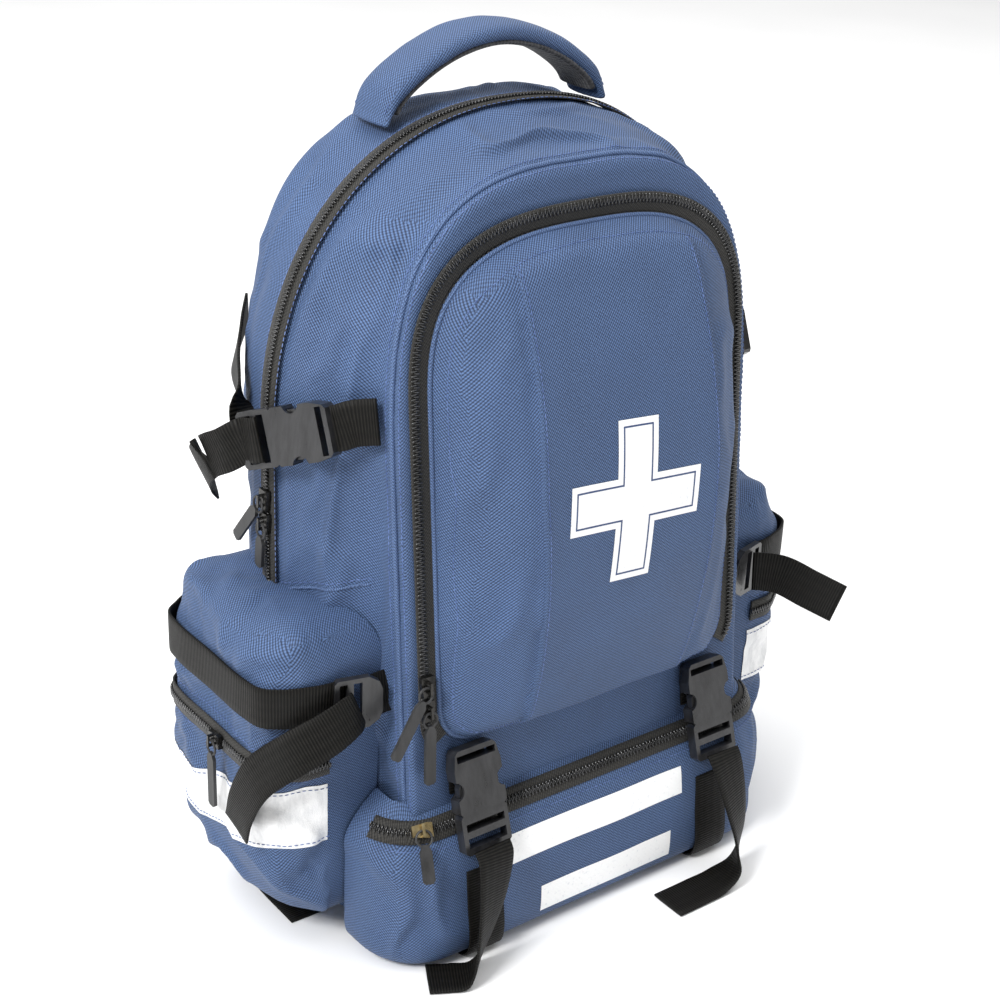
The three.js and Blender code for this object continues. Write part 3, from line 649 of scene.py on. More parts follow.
rings = shell_rings(REAR, REAR_ROWS, rear_y)
rings += wall_rings(REAR, lambda z: np.full(len(z), 62.0), 12)
bag_rear = skin("bag_rear", rings, NAVY)
row_of = np.repeat(np.arange(len(rings)), columns)
points = read(bag_rear)
pinned = (row_of == 0) | (row_of >= REAR_ROWS - 1) | (points[:, 2] < 4)
relax(bag_rear, pinned, grow=0.015, pressure=1.0, cap=3.5)
points = read(bag_rear)
between = np.sin(np.pi * np.clip(row_of / (REAR_ROWS - 2), 0, 1)) ** 0.8
long_folds = creases(points, (0.014, 0.03, 0.006), 31.0)
push(bag_rear, between * (3.6 * long_folds + 1.8 * creases(points, (0.02, 0.02, 0.02), 17.0) - 2.2))
subdivide(bag_rear)
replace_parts(bag_rear, "rear_shell")

# ---- a tuck across each gusset, and the piping and stitches where the front panel meets them
EDGE_STEPS = 460
xz = arch(125.4, 451.5, 0.3, 30, SHOULDER, 2.92, side=300, floor=40)
edge = np.c_[xz[:, 0], front_y(99.5, xz[:, 1]), xz[:, 1]]
edge = edge[xz[:, 1] > 20]
edge_normal = unit(np.c_[edge[:, 0] * 0.8, np.full(len(edge), -90.0), np.maximum(0, edge[:, 2] - 300) * 0.8])
tree = surface(bag_front)
for word, side in SIDES:
    depths = np.linspace(-9, -60, 60)
    tuck = np.array([(side * half_width(y, 215), y, 211.5 + (-9 - y) * 0.33) for y in depths])
    out = np.tile(unit(np.array([side * 1.0, -0.25, 0])), (len(depths), 1))
    piping(f"gusset_tuck_{word}", lay(tuck, out, tree, 0.1), 0.9)
    stitches(f"gusset_tuck_stitch_{word}", lay(tuck + [0, 0, 3.4], out, tree, 0.15), out)
edge_laid = resample(lay(edge, edge_normal, tree, 0.25), EDGE_STEPS)
edge_normal = stretch(edge_normal, EDGE_STEPS)
piping("front_panel_piping", edge_laid, 1.6)
for offset, word in ((4.2, "outer"), (-4.6, "inner")):
    moved = edge_laid + unit(np.cross(tangents(edge_laid), edge_normal)) * offset
    stitches(f"front_panel_stitch_{word}", lay(moved, edge_normal, tree, 0.1), edge_normal)

# ---- main zip: over the arch, from one side to the other
xz = arch(156.4, 469.4, 0.0, 30.0, 300.0, 2.23, side=300)
xz = xz[xz[:, 1] > ZIP_END - 6]
line = resample(np.c_[xz[:, 0], np.zeros(len(xz)), xz[:, 1]], 420)
t = tangents(line)
normal = unit(np.c_[t[:, 2], np.zeros(len(t)), -t[:, 0]])
line = line + normal * 0.2
tape = zip_tape("main_zip_tape", line, normal)
coil("main_zip_coil", line + normal * 0.9, normal)
for offset, word in ((5.6, "rear"), (-5.6, "front")):
    beside = line + unit(np.cross(tangents(line), normal)) * offset * 1.35
    stitches(f"main_zip_stitch_{word}", beside, normal, lift=0.9)
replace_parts(tape, "main_zip_chain")

# ---- front zip: round the door, open at its foot
WALL_NORMAL = unit(np.array([0.0, -1.0, -LEAN * DEPTH]))
DOOR_HALF, DOOR_LOW, DOOR_TOP, DOOR_SHOULDER, DOOR_POWER = 105.5, 136, 418, 332, 2.9


def door_arch(inset, rise, corner, side):
    """The door's outline, `inset` from its sides and `rise` from its ends."""
    half = max(0.6, DOOR_HALF - inset)
    return arch(half, DOOR_TOP - rise, DOOR_LOW + rise, min(half, corner), DOOR_SHOULDER, DOOR_POWER, side=side)


def door_line(inset, low, lift):
    """A line beside the door's edge above a height, on the front wall."""
    xz = door_arch(inset, inset, max(6, 24 - inset / 2), 300)
    xz = xz[xz[:, 1] > low]
    line = resample(np.c_[xz[:, 0], front_y(DEPTH, xz[:, 1]), xz[:, 1]], 420)
    return line + WALL_NORMAL * lift, np.tile(WALL_NORMAL, (420, 1))


tape = zip_tape("front_zip_tape", *door_line(-6.4, 140, 0.5), half=6.2, thick=1.0, columns=7)
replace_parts(tape, "front_zip_chain")
coil("front_zip_coil", *door_line(-9.3, 141, 1.2), pitch=1.25, reach=2.1)
stitches("front_zip_stitch", *door_line(-1.6, 142, 1.5), material=THREAD_BLACK, lift=0.1)


# ---- front door
def door_bulge(x, z):
    along = np.clip((z - DOOR_LOW) / (DOOR_TOP - DOOR_LOW), 0, 1)
    crown = 14 + 31 * np.sin(np.pi * along) ** 0.8
    beside = np.clip((np.abs(x) - 62) / 43.5, 0, 1)
    return crown * (1 - 0.78 * beside ** 1.3)


# inset at the sides, inset at the ends, and share of the bulge, from the door's edge to its middle
DOOR_STEPS = ((0, 0, 0.06), (2.5, 2.5, 0.55), (8, 8, 0.9), (18, 18, 1), (32, 28, 1), (52, 38, 1), (78, 46, 1),
              (104.9, 50, 1))
SHARE_LENGTH = 20  # the length that the share counts for in the spacing of the rings


def door_rings(rows, inside=0.0):
    rings = []
    for inset, rise, share in smooth_path(np.array(DOOR_STEPS, float) * [1, 1, SHARE_LENGTH], rows):
        inset, rise, share = inset + inside, rise + inside, min(1, share / SHARE_LENGTH)
        xz = door_arch(inset, rise, max(6, 24 - inset / 2), 120)
        out = np.maximum(0.8, door_bulge(xz[:, 0], xz[:, 1]) * share - inside)
        rings.append(np.c_[xz[:, 0], front_y(DEPTH, xz[:, 1]) - out, xz[:, 1]])
    return rings


def seam_x(z):
    """Half the width of the door's centre panel."""
    return np.interp(z, [DOOR_LOW, 293, DOOR_TOP], [58.5, 64, 60.5])


DOOR_ROWS = 34
door = skin("door_fabric", door_rings(DOOR_ROWS), NAVY, "front_door")
row_of = np.repeat(np.arange(DOOR_ROWS), len(read(door)) // DOOR_ROWS)
relax(door, row_of <= 1, grow=0.012, pressure=1.4, cap=3.5)
points = read(door)
inner = np.clip(row_of / 6, 0, 1)
off_seam = np.abs(points[:, 0]) - seam_x(points[:, 2])
flank = np.exp(-np.clip(off_seam, 0, None) / 11.0)
folds = creases(points, (0.02, 0.02, 0.011), 5.5) - 0.25
side_folds = (off_seam > 0) * inner * (3.6 * folds * (1 - flank) - 2.6 * flank)
centre_sag = (off_seam <= 0) * crumple(points, (0.010, 0.01, 0.008), 9.0) * 1.6 * inner
ends = np.exp(-np.minimum(points[:, 2] - DOOR_LOW, DOOR_TOP - points[:, 2]) / 22)
ends = ends * crumple(points, (0.035, 0.02, 0.03), 3.0) * 1.8 * inner
push(door, side_folds + centre_sag + ends)
subdivide(door)
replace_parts(door, "front_pocket_door")
skin("door_lining", door_rings(20, 3.0), LINING, "front_door")
rim = door_rings(DOOR_ROWS)[0]
piping("door_edge_binding", np.vstack([rim[-1:], rim, rim[:1]]) + WALL_NORMAL * 0.9, 1.5, "front_door")


# ---- the centre panel: a sheet of its own, laid over the door between its two seams
def ahead(points):
    return np.tile(AHEAD, (len(points), 1))


PANEL_LOW, PANEL_TOP, SUNK, RAISED = 141, 413.5, -7.0, 0.9
rows = np.linspace(0, 1, 120)
shares = np.r_[-1, -0.995, np.linspace(-0.97, 0.97, 46), 0.995, 1]
sheet, rise = [], []
for v in rows:
    for u in shares:
        x = u * (seam_x(PANEL_LOW + v * 270) - 0.6)
        share = (1 - (abs(x) / 101) ** DOOR_POWER) ** (1 / DOOR_POWER)
        top = DOOR_SHOULDER + (PANEL_TOP - DOOR_SHOULDER) * share
        z = PANEL_LOW + v * (top - PANEL_LOW)
        sheet.append((u * (seam_x(z) - 0.6), CLEAR, z))
        rise.append(SUNK if abs(u) == 1 or v in (0, 1) else RAISED)
sheet = np.array(sheet)
aimed = sheet.copy()  # rays that start inside the seams, so that the edges don't fall into them
aimed[:, 0] *= np.minimum(1, 0.93 * seam_x(aimed[:, 2]) / np.maximum(np.abs(aimed[:, 0]), 1))
tree = surface(door)
laid = lay(aimed, ahead(aimed), tree, 0.0, 90)
laid[:, 0] = sheet[:, 0]
laid[:, 1] -= np.array(rise)
faces = grid_faces(len(rows), len(shares), False)
panel = make("door_centre_panel", laid, faces, NAVY, "front_door")
panel_tree = surface(panel)
for word, side in SIDES:
    line = np.array([(side * (seam_x(z) - 3.2), CLEAR, z) for z in np.linspace(146, 405, 200)])
    line = lay(line, ahead(line), panel_tree, 0.1, 90)
    stitches(f"door_seam_stitch_{word}", line, ahead(line), "front_door")
xz = door_arch(5.5, 5.5, 20, 300)
line = np.c_[xz[:, 0], np.full(len(xz), CLEAR), xz[:, 1]]
stitches("door_edge_stitch", lay(line, ahead(line), tree, 0.15, 90), ahead(line), "front_door")


# ---- the print on the door
def patch(name, inside, low, high, step, tree, lift, material, body, place):
    """A print: the cells of a fine grid that are inside, laid on a surface. place(u, v) gives a start point."""
    us, vs = np.arange(low[0], high[0] + step / 2, step), np.arange(low[1], high[1] + step / 2, step)
    keep = {}
    points, faces = [], []

    def corner(i, j):
        if (i, j) not in keep:
            keep[i, j] = len(points)
            points.append(place(us[i], vs[j]))
        return keep[i, j]

    for i in range(len(us) - 1):
        for j in range(len(vs) - 1):
            if inside((us[i] + us[i + 1]) / 2, (vs[j] + vs[j + 1]) / 2):
                faces.append((corner(i, j), corner(i + 1, j), corner(i + 1, j + 1), corner(i, j + 1)))
    points = np.array(points, float)
    return make(name, lay(points, ahead(points), tree, lift, 90), faces, material, body)


ARM, REACH, CROSS_Z = 14.0, 46.0, 275
CROSS_LEAN = math.radians(4)


def cross(u, v, grow=0.0):
    arm, reach = ARM + grow, REACH + grow
    return (abs(u) < arm and abs(v) < reach) or (abs(v) < arm and abs(u) < reach)


def inset_line(u, v):
    return cross(u, v, -3.5) and not cross(u, v, -4.5)


def on_door(u, v):
    cos, sin = math.cos(CROSS_LEAN), math.sin(CROSS_LEAN)
    return u * cos + v * sin, CLEAR, CROSS_Z - u * sin + v * cos


for name, inside, step, lift, ink in (("door_cross", cross, 1.0, 0.22, INK),
                                      ("door_cross_inset", inset_line, 0.5, 0.34, INK_LINE)):
    patch(name, inside, (-REACH, -REACH), (REACH, REACH), step, panel_tree, lift, ink, "front_door", on_door)


# ---- lower pocket and its zip
def lower_plan(inset, z, count=150):
    """The pocket's plan at a height: round its front from one side of the pack to the other."""
    half, front, radius = 152 - inset, -125 + 0.11 * z + inset, 46 - 1.7 * inset
    a = np.linspace(0, math.pi / 2, 14)
    left = np.c_[-(half - radius + radius * np.cos(a)), front + radius - radius * np.sin(a)]
    right = left[::-1] * [-1, 1]
    plan = resample(np.vstack([[(-half, -70.0)], left, right, [(half, -70.0)]]), count)
    return np.c_[plan, np.full(count, float(z))]


def beside_line(line):
    """Level directions to the right of a line."""
    t = tangents(line)
    return unit(np.c_[t[:, 1], -t[:, 0], np.zeros(len(t))])


# height and inset
LEVELS = ((2, 12), (7, 4), (16, 0), (72, 0), (84, 4), (95, 13), (103, 22))
FOOT_Z, FOOT_Y = 1.0, -66
rings = [lower_plan(inset, z) for z, inset in smooth_path(LEVELS, 34)]
x, y = rings[0][:, 0], rings[0][:, 1]
foot = [np.c_[x, y + (FOOT_Y - y) * share, np.full(150, FOOT_Z)] for share in (1, 0.6, 0.25, 0.06)]
rings = foot + rings
faces = grid_faces(len(rings), 150, False)
lower = make("lower_pocket_fabric", np.vstack(rings), faces, NAVY, "bag")
row_of = np.repeat(np.arange(len(rings)), 150)
points = read(lower)
zip_rows = (points[:, 2] > 82.5) & (points[:, 2] < 97)
relax(lower, (row_of < 6) | zip_rows | (points[:, 1] > -74), grow=0.018, pressure=1.2, cap=4.0)
points = read(lower)
free = np.clip((points[:, 2] - 6) / 20, 0, 1) * np.clip((84 - points[:, 2]) / 14, 0, 1)
at_corner = np.clip((np.abs(points[:, 0]) - 88) / 40, 0, 1)
swell = crumple(points, (0.014, 0.014, 0.012), 6.6) * 1.5
push(lower, free * (swell + at_corner * 4.5 * (creases(points, (0.022, 0.022, 0.013), 21.0) - 0.35)))
subdivide(lower)
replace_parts(lower, "lower_pocket")

plan = lower_plan(8.5, 89.5, 460)
plan = plan[plan[:, 1] < -84]
normal = unit(beside_line(plan) * 0.774 + np.array([0, 0, 0.633]))
line = plan + normal * 0.3
tape = zip_tape("lower_zip_tape", line, normal, 6.8)
coil("lower_zip_coil", line + normal * 0.9, normal, pitch=1.25, reach=2.0)
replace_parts(tape, "lower_zip_chain")
tree = surface(lower)
ring = lower_plan(0.9, 80.5, 300)[20:-20]
out = beside_line(ring)
stitches("lower_pocket_stitch", lay(ring, out, tree, 0.15, 12), out)
for word, low, high in (("upper", (-72, 55), (64, 73)), ("lower", (-47, 14), (56, 32))):
    patch(f"lower_print_{word}", lambda u, v: True, low, high, 2.0, tree, 0.25, INK, "bag",
          lambda u, v: (u, CLEAR, v))


# ---- side pockets and their zips
POCKET_REAR, POCKET_FRONT, POCKET_LOW, POCKET_TOP, POCKET_SIDE = 60, -68.4, 14, 214, 197.0
SIDE_ZIP_Z, STRAP_Z, BAND_Z = 131, 171, 82


def pocket_ring(inset, radius, count):
    """The pocket's outline seen from the side: even steps from the middle of its foot."""
    y0, y1, z0, z1 = POCKET_FRONT + inset, POCKET_REAR - inset, POCKET_LOW + inset, POCKET_TOP - inset
    corners = ((y1 - radius, z0 + radius), (y1 - radius, z1 - radius),
               (y0 + radius, z1 - radius), (y0 + radius, z0 + radius))
    arcs = []
    for quarter, (y, z) in enumerate(corners):
        a = np.linspace(0, math.pi / 2, 10) + (quarter - 1) * math.pi / 2
        arcs.append(np.c_[y + radius * np.cos(a), z + radius * np.sin(a)])
    ring = resample(np.vstack([*arcs, arcs[0][:1]]), count + 1)[:-1]
    start = int(np.argmin(np.abs(ring[:, 0] - (y0 + y1) / 2) + 1000 * (ring[:, 1] > (z0 + z1) / 2)))
    return np.roll(ring, -start, axis=0)


def round_pocket(side, out, height, count=260):
    """A level line round the pocket, `out` from its fabric."""
    half = [(161.4, -out), (177.4, 1 - out), (185 + 0.6 * out, 6 - out), (194 + out, 14 - out), (197 + out, 27)]
    front, rear = [(x, POCKET_FRONT + y) for x, y in half], [(x, POCKET_REAR - y) for x, y in half[::-1]]
    route = front + [(197 + out, -4.2)] + rear
    return smooth_path(np.array([(side * x, y, height) for x, y in route]), count)


def off_route(line, side):
    n = beside_line(line)
    return n * (1 if n[len(n) // 2, 0] * side > 0 else -1)


# distance from the pack's middle, and inset
POCKET_STEPS = ((157.4, 0), (175.4, 1), (185, 6), (194, 14), (197, 24))
for word, side in SIDES:
    count = 156
    rings = []
    for k, (x, inset) in enumerate(smooth_path(POCKET_STEPS, 20)):
        yz = pocket_ring(inset, 28 + inset / 3, count)
        reach = np.full(count, x) if k else np.array([half_width(y, z) - 3.0 for y, z in yz])
        rings.append(np.c_[side * reach, yz])
    for share in np.linspace(0, 1, 13)[1:]:
        yz = pocket_ring(24 + share * 38.5, max(1.0, 36 * (1 - share)), count)
        rings.append(np.c_[np.full(count, side * POCKET_SIDE), yz])
    pocket = skin(f"side_pocket_fabric_{word}", rings, NAVY)
    row_of = np.repeat(np.arange(len(rings)), count)
    z = read(pocket)[:, 2]
    held = (np.abs(z - SIDE_ZIP_Z) < 5) & (row_of > 2)
    strapped = (np.abs(z - STRAP_Z) < 9) & (row_of > 3)
    relax(pocket, (row_of <= 1) | held | strapped, grow=0.03, pressure=2.0, cap=6.0)
    points = read(pocket)
    z = points[:, 2]
    free = np.clip(row_of / 6, 0, 1) * np.clip(np.abs(z - SIDE_ZIP_Z) / 10 - 0.5, 0, 1)
    free = free * np.clip(np.abs(z - STRAP_Z) / 12 - 0.7, 0, 1)
    folds = creases(points, (0.016, 0.016, 0.024), 41.0 + side)
    push(pocket, free * (5.0 * folds + 2.0 * crumple(points, (0.02, 0.02, 0.02), 12.0) - 2.2))
    points = read(pocket)
    slack = np.clip((96 - points[:, 2]) / 82, 0, 1) ** 1.3 * np.clip((np.abs(points[:, 0]) - 155) / 20, 0, 1)
    points[:, 0] -= side * 15 * slack
    points[:, 1] -= 8 * slack * (points[:, 1] > 0) * points[:, 1] / 60
    write(pocket, points)
    subdivide(pocket)
    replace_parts(pocket, f"side_pocket_{word}")
    tree = surface(pocket)

    line = round_pocket(side, 1.2, SIDE_ZIP_Z)
    normal = off_route(line, side)
    tape = zip_tape(f"side_zip_tape_{word}", line, normal, 7.0)
    coil(f"side_zip_coil_{word}", line + normal * 0.9, normal)
    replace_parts(tape, f"side_zip_chain_{word}")

    # the reflective band, which rises to the front
    line = round_pocket(side, 0.6, BAND_Z, 200)
    normal = off_route(line, side)
    rise = 20 * np.clip((20 - line[:, 1]) / 85, 0, 1)[:, None] * [0, 0, 1]
    heights = np.linspace(58, 96, 16)
    grid = np.vstack([line + rise + [0, 0, z - BAND_Z] for z in heights])
    grid = lay(grid, np.tile(normal, (len(heights), 1)), tree, 0.5)
    faces = grid_faces(len(heights), 200, False)
    make(f"side_reflective_{word}", grid, faces, SILVER, "bag")
    for z in (60.5, 93.5):
        seam_line = lay(line + rise + [0, 0, z - BAND_Z], normal, tree, 0.6)
        stitches(f"side_reflective_stitch_{word}_{int(z)}", seam_line, normal)
    for z, name in ((121.5, "below"), (140.5, "above")):
        seam_line = lay(line + [0, 0, z - BAND_Z], normal, tree, 0.15, 16)
        stitches(f"side_zip_stitch_{word}_{name}", seam_line, normal)


# ---- grab handle
def padded_strip(name, route, across, section, material, body, count, squeeze=None):
    """A closed strip with its own cross-section, as pairs of width and height, along a smooth route."""
    line = resample(smooth_path(route, 200), count)
    wide, up = strip_axes(line, across, None)
    factor = np.ones((count, 1)) if squeeze is None else squeeze(np.linspace(0, 1, count))[:, None]
    rings = np.stack([line + wide * u + up * (v * factor) for u, v in section], 1)
    piece = make(name, rings.reshape(-1, 3), strip_faces(count, len(section)), material, body)
    return piece, line, wide, up


def pillow(half, high, low, count=9):
    """A crowned cross-section with narrow edges."""
    a = np.linspace(0, math.pi, count)
    over = [(half * math.cos(x), high * math.sin(x) ** 0.62) for x in a]
    under = [(-half * math.cos(x), -low * math.sin(x) ** 0.62) for x in a[1:-1]]
    return over + under


def tapered(ends, least):
    """The share of a strip's thickness along it: thinner over a part of its length at both ends."""
    return lambda share: np.clip(np.minimum(share, 1 - share) / ends, least, 1) ** 0.5


half_route = [(76, 459), (69, 473), (53, 486), (29, 497.5)]
route = [(-x, 25, z) for x, z in half_route] + [(0, 25, 502.5)] + [(x, 25, z) for x, z in half_route[::-1]]
cover, line, wide, up = padded_strip("handle_cover", route, (0, 1, 0), pillow(17.5, 6.8, 5.2), NAVY, "handle",
                                     90, tapered(0.10, 0.3))
push(cover, crumple(read(cover), (0.05, 0.05, 0.05), 3.3) * 0.55)
subdivide(cover)
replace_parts(cover, "grab_handle")
up = up * np.sign(up[len(up) // 2, 2])
line, wide, up = line[4:-4], wide[4:-4], up[4:-4]
inner, *_ = padded_strip("handle_lining", line - up * 4.2, (0, 1, 0), pillow(16.4, 2.8, 2.6), HANDLE_MESH,
                         "handle", 90)
subdivide(inner)
for side, word in ((-1, "front"), (1, "rear")):
    stitches(f"handle_stitch_{word}", line + wide * side * 14.6 + up * 3.1, up, "handle")

# ---- webbing
for word, side in SIDES:
    x = side * 88
    upper = [(x, -101.2, 104.5), (x, -100.2, 109), (x, -99.2, 117), (x, -98.6, 123), (x, -98.2, 128.5)]
    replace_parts(ribbon(f"front_webbing_upper_{word}", upper, (1, 0, 0)), f"front_strap_upper_{word}")
    sewn = [(x, -104, 1), (x, -113, 1.05), (x, -121.5, 4.5), (x, -125, 14), (x, -121.9, 42), (x, -119.8, 62)]
    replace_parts(ribbon(f"front_webbing_sewn_{word}", sewn, (1, 0, 0)), f"front_strap_sewn_{word}")

# each tail's route, and the direction that its width ends in
front_tails = {
    "left": ([(-89, -127.5, 80.5), (-89, -131.5, 76), (-92, -135, 54), (-98, -137, 28), (-104, -137, 9),
              (-109, -135, 2.4), (-118, -130, 1.3), (-129, -124, 1.3)], (0.48, 0.88, 0)),
    "right": ([(89, -127.5, 80.5), (89, -131.5, 76), (92, -139, 52), (92, -146, 28), (86, -150, 10),
               (72, -150, 2.6), (54, -150, 1.3), (32, -150, 1.3)], (0, 1, 0)),
}
for word, (route, end) in front_tails.items():
    piece = ribbon(f"front_webbing_tail_{word}", route, (1, 0, 0), end, curl=0.5)
    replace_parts(piece, f"front_strap_tail_{word}")

for word, side in SIDES:
    along = unit(np.array([-0.38 * side, -0.86, 0.34]))
    outward = np.array([side, 0.0, 0.0])
    outward = unit(outward - outward @ along * along)
    wide = np.cross(-outward, along)
    origin = np.array([160.8 * side, -18, 309])

    def local(*steps):
        """Points in the side buckle's own frame."""
        return [origin + outward * out + along * on for out, on in steps]

    front = local((-0.5, 35.5), (-1, 40.5))
    front += sided(side, (139, -56, 325), (133.5, -61, 326.5), (129.5, -67, 328))
    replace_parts(ribbon(f"side_webbing_front_{word}", front, wide), f"side_strap_front_{word}")
    rear = local((-2.2, -19), (-2.6, -24))
    rear += sided(side, (159, 10, 303), (159.2, 22, 316), (154.5, 38, 331), (143, 52, 343), (132, 64, 351))
    piece = ribbon(f"side_webbing_rear_{word}", rear, wide, (0.27 * side, -0.42, 0.82))
    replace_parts(piece, f"side_strap_rear_{word}")
    tail = local((5.2, -8.5), (6.5, -13)) + sided(
        side, (172, -1, 303), (180, 7, 296), (183, 19, 289), (181, 33, 278), (173, 44, 267), (165, 48, 258))
    piece = ribbon(f"side_webbing_tail_{word}", tail, wide, (0, 0.7, 0.7), curl=0.6)
    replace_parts(piece, f"side_strap_tail_{word}")

    start = sided(side, (152, -71.4, 169.6), (160, -71.6, 170.4), (168, -71.4, 171))
    finish = sided(side, (156, 63.4, 180), (150, 64.0, 182), (143, 62.5, 184))
    route = np.vstack([start, round_pocket(side, 2.2, STRAP_Z, 60)[8:-8], finish])
    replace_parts(ribbon(f"pocket_webbing_{word}", route, (0, 0, 1)), f"pocket_strap_{word}")
    anchor = sided(side, (142, -76.4, 168), (134, -74.2, 168), (127, -73.5, 168), (121, -74, 168))
    ribbon(f"pocket_webbing_anchor_{word}", anchor, (0, 0.2, 0.98))

pocket_tails = {
    "left": ([(-149, -79.6, 167.4), (-152, -81.5, 166), (-168, -83, 160), (-188, -76, 149), (-201, -60, 130),
              (-205, -48, 106), (-205, -42, 88)], (0, 0.8, 0.6)),
    "right": ([(149, -79.6, 168), (152, -81.5, 168), (164, -90, 166), (177, -104, 158), (190, -118, 150)],
              (0.3, 0.3, 0.9)),
}
for word, (route, end) in pocket_tails.items():
    lock = f"pocket_lock_{word}"
    piece = ribbon(f"pocket_webbing_tail_{word}", route, (0, 0.2, 0.98), end, body=lock, curl=0.5)
    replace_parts(piece, f"pocket_strap_tail_{word}")

shoulder = {
    "left": [(-100, 63.6, 22), (-100, 65.4, 25), (-97, 69.5, 31), (-94, 77.6, 40), (-86, 79, 70),
             (-75, 79.5, 106), (-74, 82.5, 112), (-75, 86, 106), (-90, 90, 66), (-112, 88, 26), (-130, 76, 5),
             (-146, 48, 1.2), (-153, 10, 1.2), (-154, -36, 1.2)],
    "right": [(100, 63.6, 22), (100, 65.4, 25), (97, 69.5, 31), (94, 77.6, 40), (86, 79, 70), (73.5, 80, 114)],
}
for word, route in shoulder.items():
    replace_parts(ribbon(f"shoulder_webbing_{word}_band", route, (1, 0, 0)), f"shoulder_webbing_{word}")

# ---- back pad and shoulder straps
PAD_STEPS = ((0.2, 6), (4, 2), (9.6, 3.5), (12.6, 9), (13.6, 18), (13.9, 34), (14, 110.5))  # height and inset
BACK_WALL, CHANNEL_X, CHANNELS_Z = 62, 30, (130, 225, 320)
rings = []
for out, inset in smooth_path(PAD_STEPS, 30):
    corner = max(2.0, min(26, 112 - inset))
    xz = arch(112 - inset, 432 - inset * 0.9, 36 + inset * 0.9, corner, SHOULDER, 2.23, side=110)
    x, z = xz[:, 0], xz[:, 1]
    upright = 2.6 * np.exp(-((np.abs(x) - CHANNEL_X) / 5.0) ** 2) * (inset > 8)
    level = sum(np.exp(-((z - at) / 4.5) ** 2) for at in CHANNELS_Z) * 2.4 * (inset > 8) * (np.abs(x) < 96)
    rings.append(np.c_[x, BACK_WALL + out - np.maximum(upright, level), z])
pad = skin("back_padding", rings, AIR_MESH, "bag")
relax(pad, read(pad)[:, 1] < 66, grow=0.01, pressure=1.0, cap=2.5)
subdivide(pad)
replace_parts(pad, "back_pad")
xz = arch(110.5, 430.5, 37.5, 26, SHOULDER, 2.23, side=300, floor=80)
ring = np.c_[xz[:, 0], np.full(len(xz), 63.6), xz[:, 1]]
piping("back_padding_binding", np.vstack([ring, ring[:2]]), 2.0)


for word, side in SIDES:
    route = sided(side, (46, 83.5, 430), (49, 92, 396), (53, 99, 340),
                  (62, 98, 270), (68, 91, 200), (72, 83.5, 148))
    strap, line, wide, up = padded_strip(f"shoulder_strap_cover_{word}", route, (1, 0, 0),
                                         pillow(26, 5.6, 5.0, 11), NAVY, "bag", 120,
                                         tapered(0.06, 0.25))
    push(strap, crumple(read(strap), (0.03, 0.03, 0.03), 15.0 + side) * 0.6)
    subdivide(strap)
    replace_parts(strap, f"shoulder_strap_{word}")
    inward = up * -np.sign(up[len(up) // 2, 1])
    line, wide, inward = line[3:-3], wide[3:-3], inward[3:-3]
    mesh, *_ = padded_strip(f"shoulder_strap_mesh_{word}", line + inward * 4.0, (1, 0, 0),
                            pillow(22.5, 2.0, 2.0), AIR_MESH, "bag", 120)
    subdivide(mesh)
    for edge_side in (-1, 1):
        edge_word = "out" if edge_side * side > 0 else "in"
        beside = line + wide * edge_side * 22.5 - inward * 3.0
        stitches(f"shoulder_stitch_{word}_{edge_word}", beside, -inward)
    centre = sided(side, (72, 90.6, 214), (73, 90.2, 190), (74, 88.2, 160), (73.4, 85.0, 141), (73, 83.6, 134))
    ribbon(f"shoulder_strap_webbing_{word}", centre, (1, 0, 0))
    top = sided(side, (48, 87.5, 410), (47, 84.5, 424), (45, 78.5, 434),
                (43, 70.5, 442), (41, 62, 448), (39, 54, 452))
    ribbon(f"shoulder_yoke_{word}", top, (1, 0, 0), width=49, thick=7, material=NAVY)


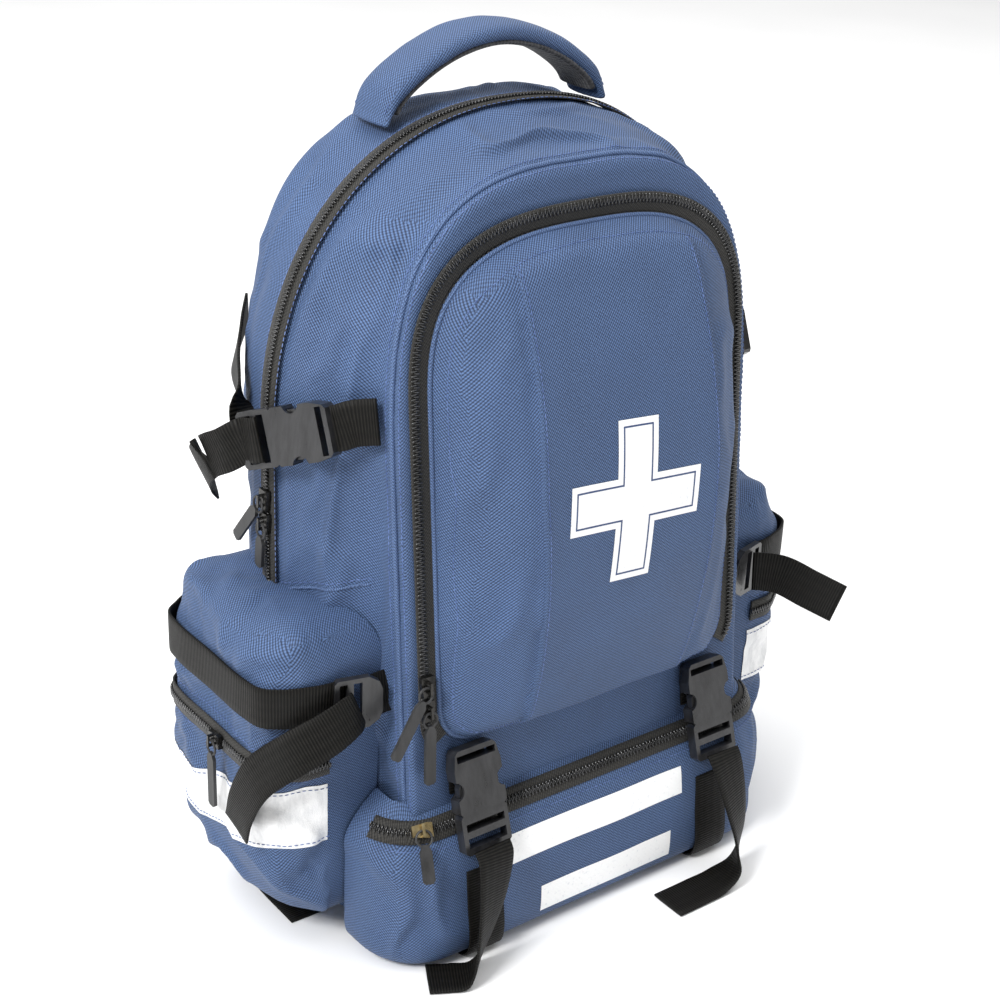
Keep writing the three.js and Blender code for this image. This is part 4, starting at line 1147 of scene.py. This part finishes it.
# ---- CAD nodes that stay: finishes and rounded edges
def dress(node, material, bevel):
    """Gives a CAD node its material and rounds its edges by `bevel` millimetres."""
    piece = nodes[node]
    for slot in piece.material_slots:
        slot.material = material
    if not piece.material_slots:
        piece.data.materials.append(material)
    modifier = piece.modifiers.new("bevel", "BEVEL")
    modifier.width, modifier.segments, modifier.limit_method = bevel * MM, 3, "ANGLE"
    modifier.angle_limit, modifier.harden_normals = math.radians(32), False


for name in nodes:
    if "buckle" in name or "lock" in name:
        dress(name, ACETAL, 0.6)
    elif name.endswith("_slider"):
        dress(name, BRASS if name == "lower_zip_slider" else SLIDER, 0.35)
    elif name.endswith("_pull"):
        dress(name, RUBBER, 0.35)
    elif name == "back_foam_board":
        dress(name, FOAM, 1.0)

# ---- floor and light
floor_mesh = bpy.data.meshes.new("floor")
floor_mesh.from_pydata([(-6, -6, 0), (6, -6, 0), (6, 6, 0), (-6, 6, 0)], [], [(0, 1, 2, 3)])
bpy.context.scene.view_settings.view_transform = "Standard"
floor = bpy.data.objects.new("floor", floor_mesh)
n = Nodes("pale_floor")
paleness = n.ramp(n.noise(n.place(), 3, 2), [(0.3, (0.9, 0.9, 0.9)), (0.7, (0.93, 0.93, 0.93))])
floor_mesh.materials.append(n.finish(paleness, 0.6))
bpy.context.scene.collection.objects.link(floor)

world = bpy.data.worlds.new("studio")
bpy.context.scene.world = world
world.use_nodes = True
world.node_tree.nodes["Background"].inputs["Color"].default_value = (1, 1, 1, 1)
world.node_tree.nodes["Background"].inputs["Strength"].default_value = 0.42


def softbox(name, place, aim, size, power):
    light = bpy.data.lights.new(name, "AREA")
    light.shape, light.size, light.size_y, light.energy = "RECTANGLE", size[0], size[1], power
    lamp = bpy.data.objects.new(name, light)
    lamp.location = place
    lamp.rotation_euler = (Vector(aim) - Vector(place)).to_track_quat("-Z", "Y").to_euler()
    bpy.context.scene.collection.objects.link(lamp)


softbox("key", (-1.9, -0.5, 1.9), (0, 0, 0.25), (0.7, 0.7), 62)
softbox("top", (0.2, 0.6, 3.0), (0, 0, 0), (5, 5), 150)
softbox("fill", (1.6, -1.4, 0.9), (0, 0, 0.2), (1.0, 1.4), 5)
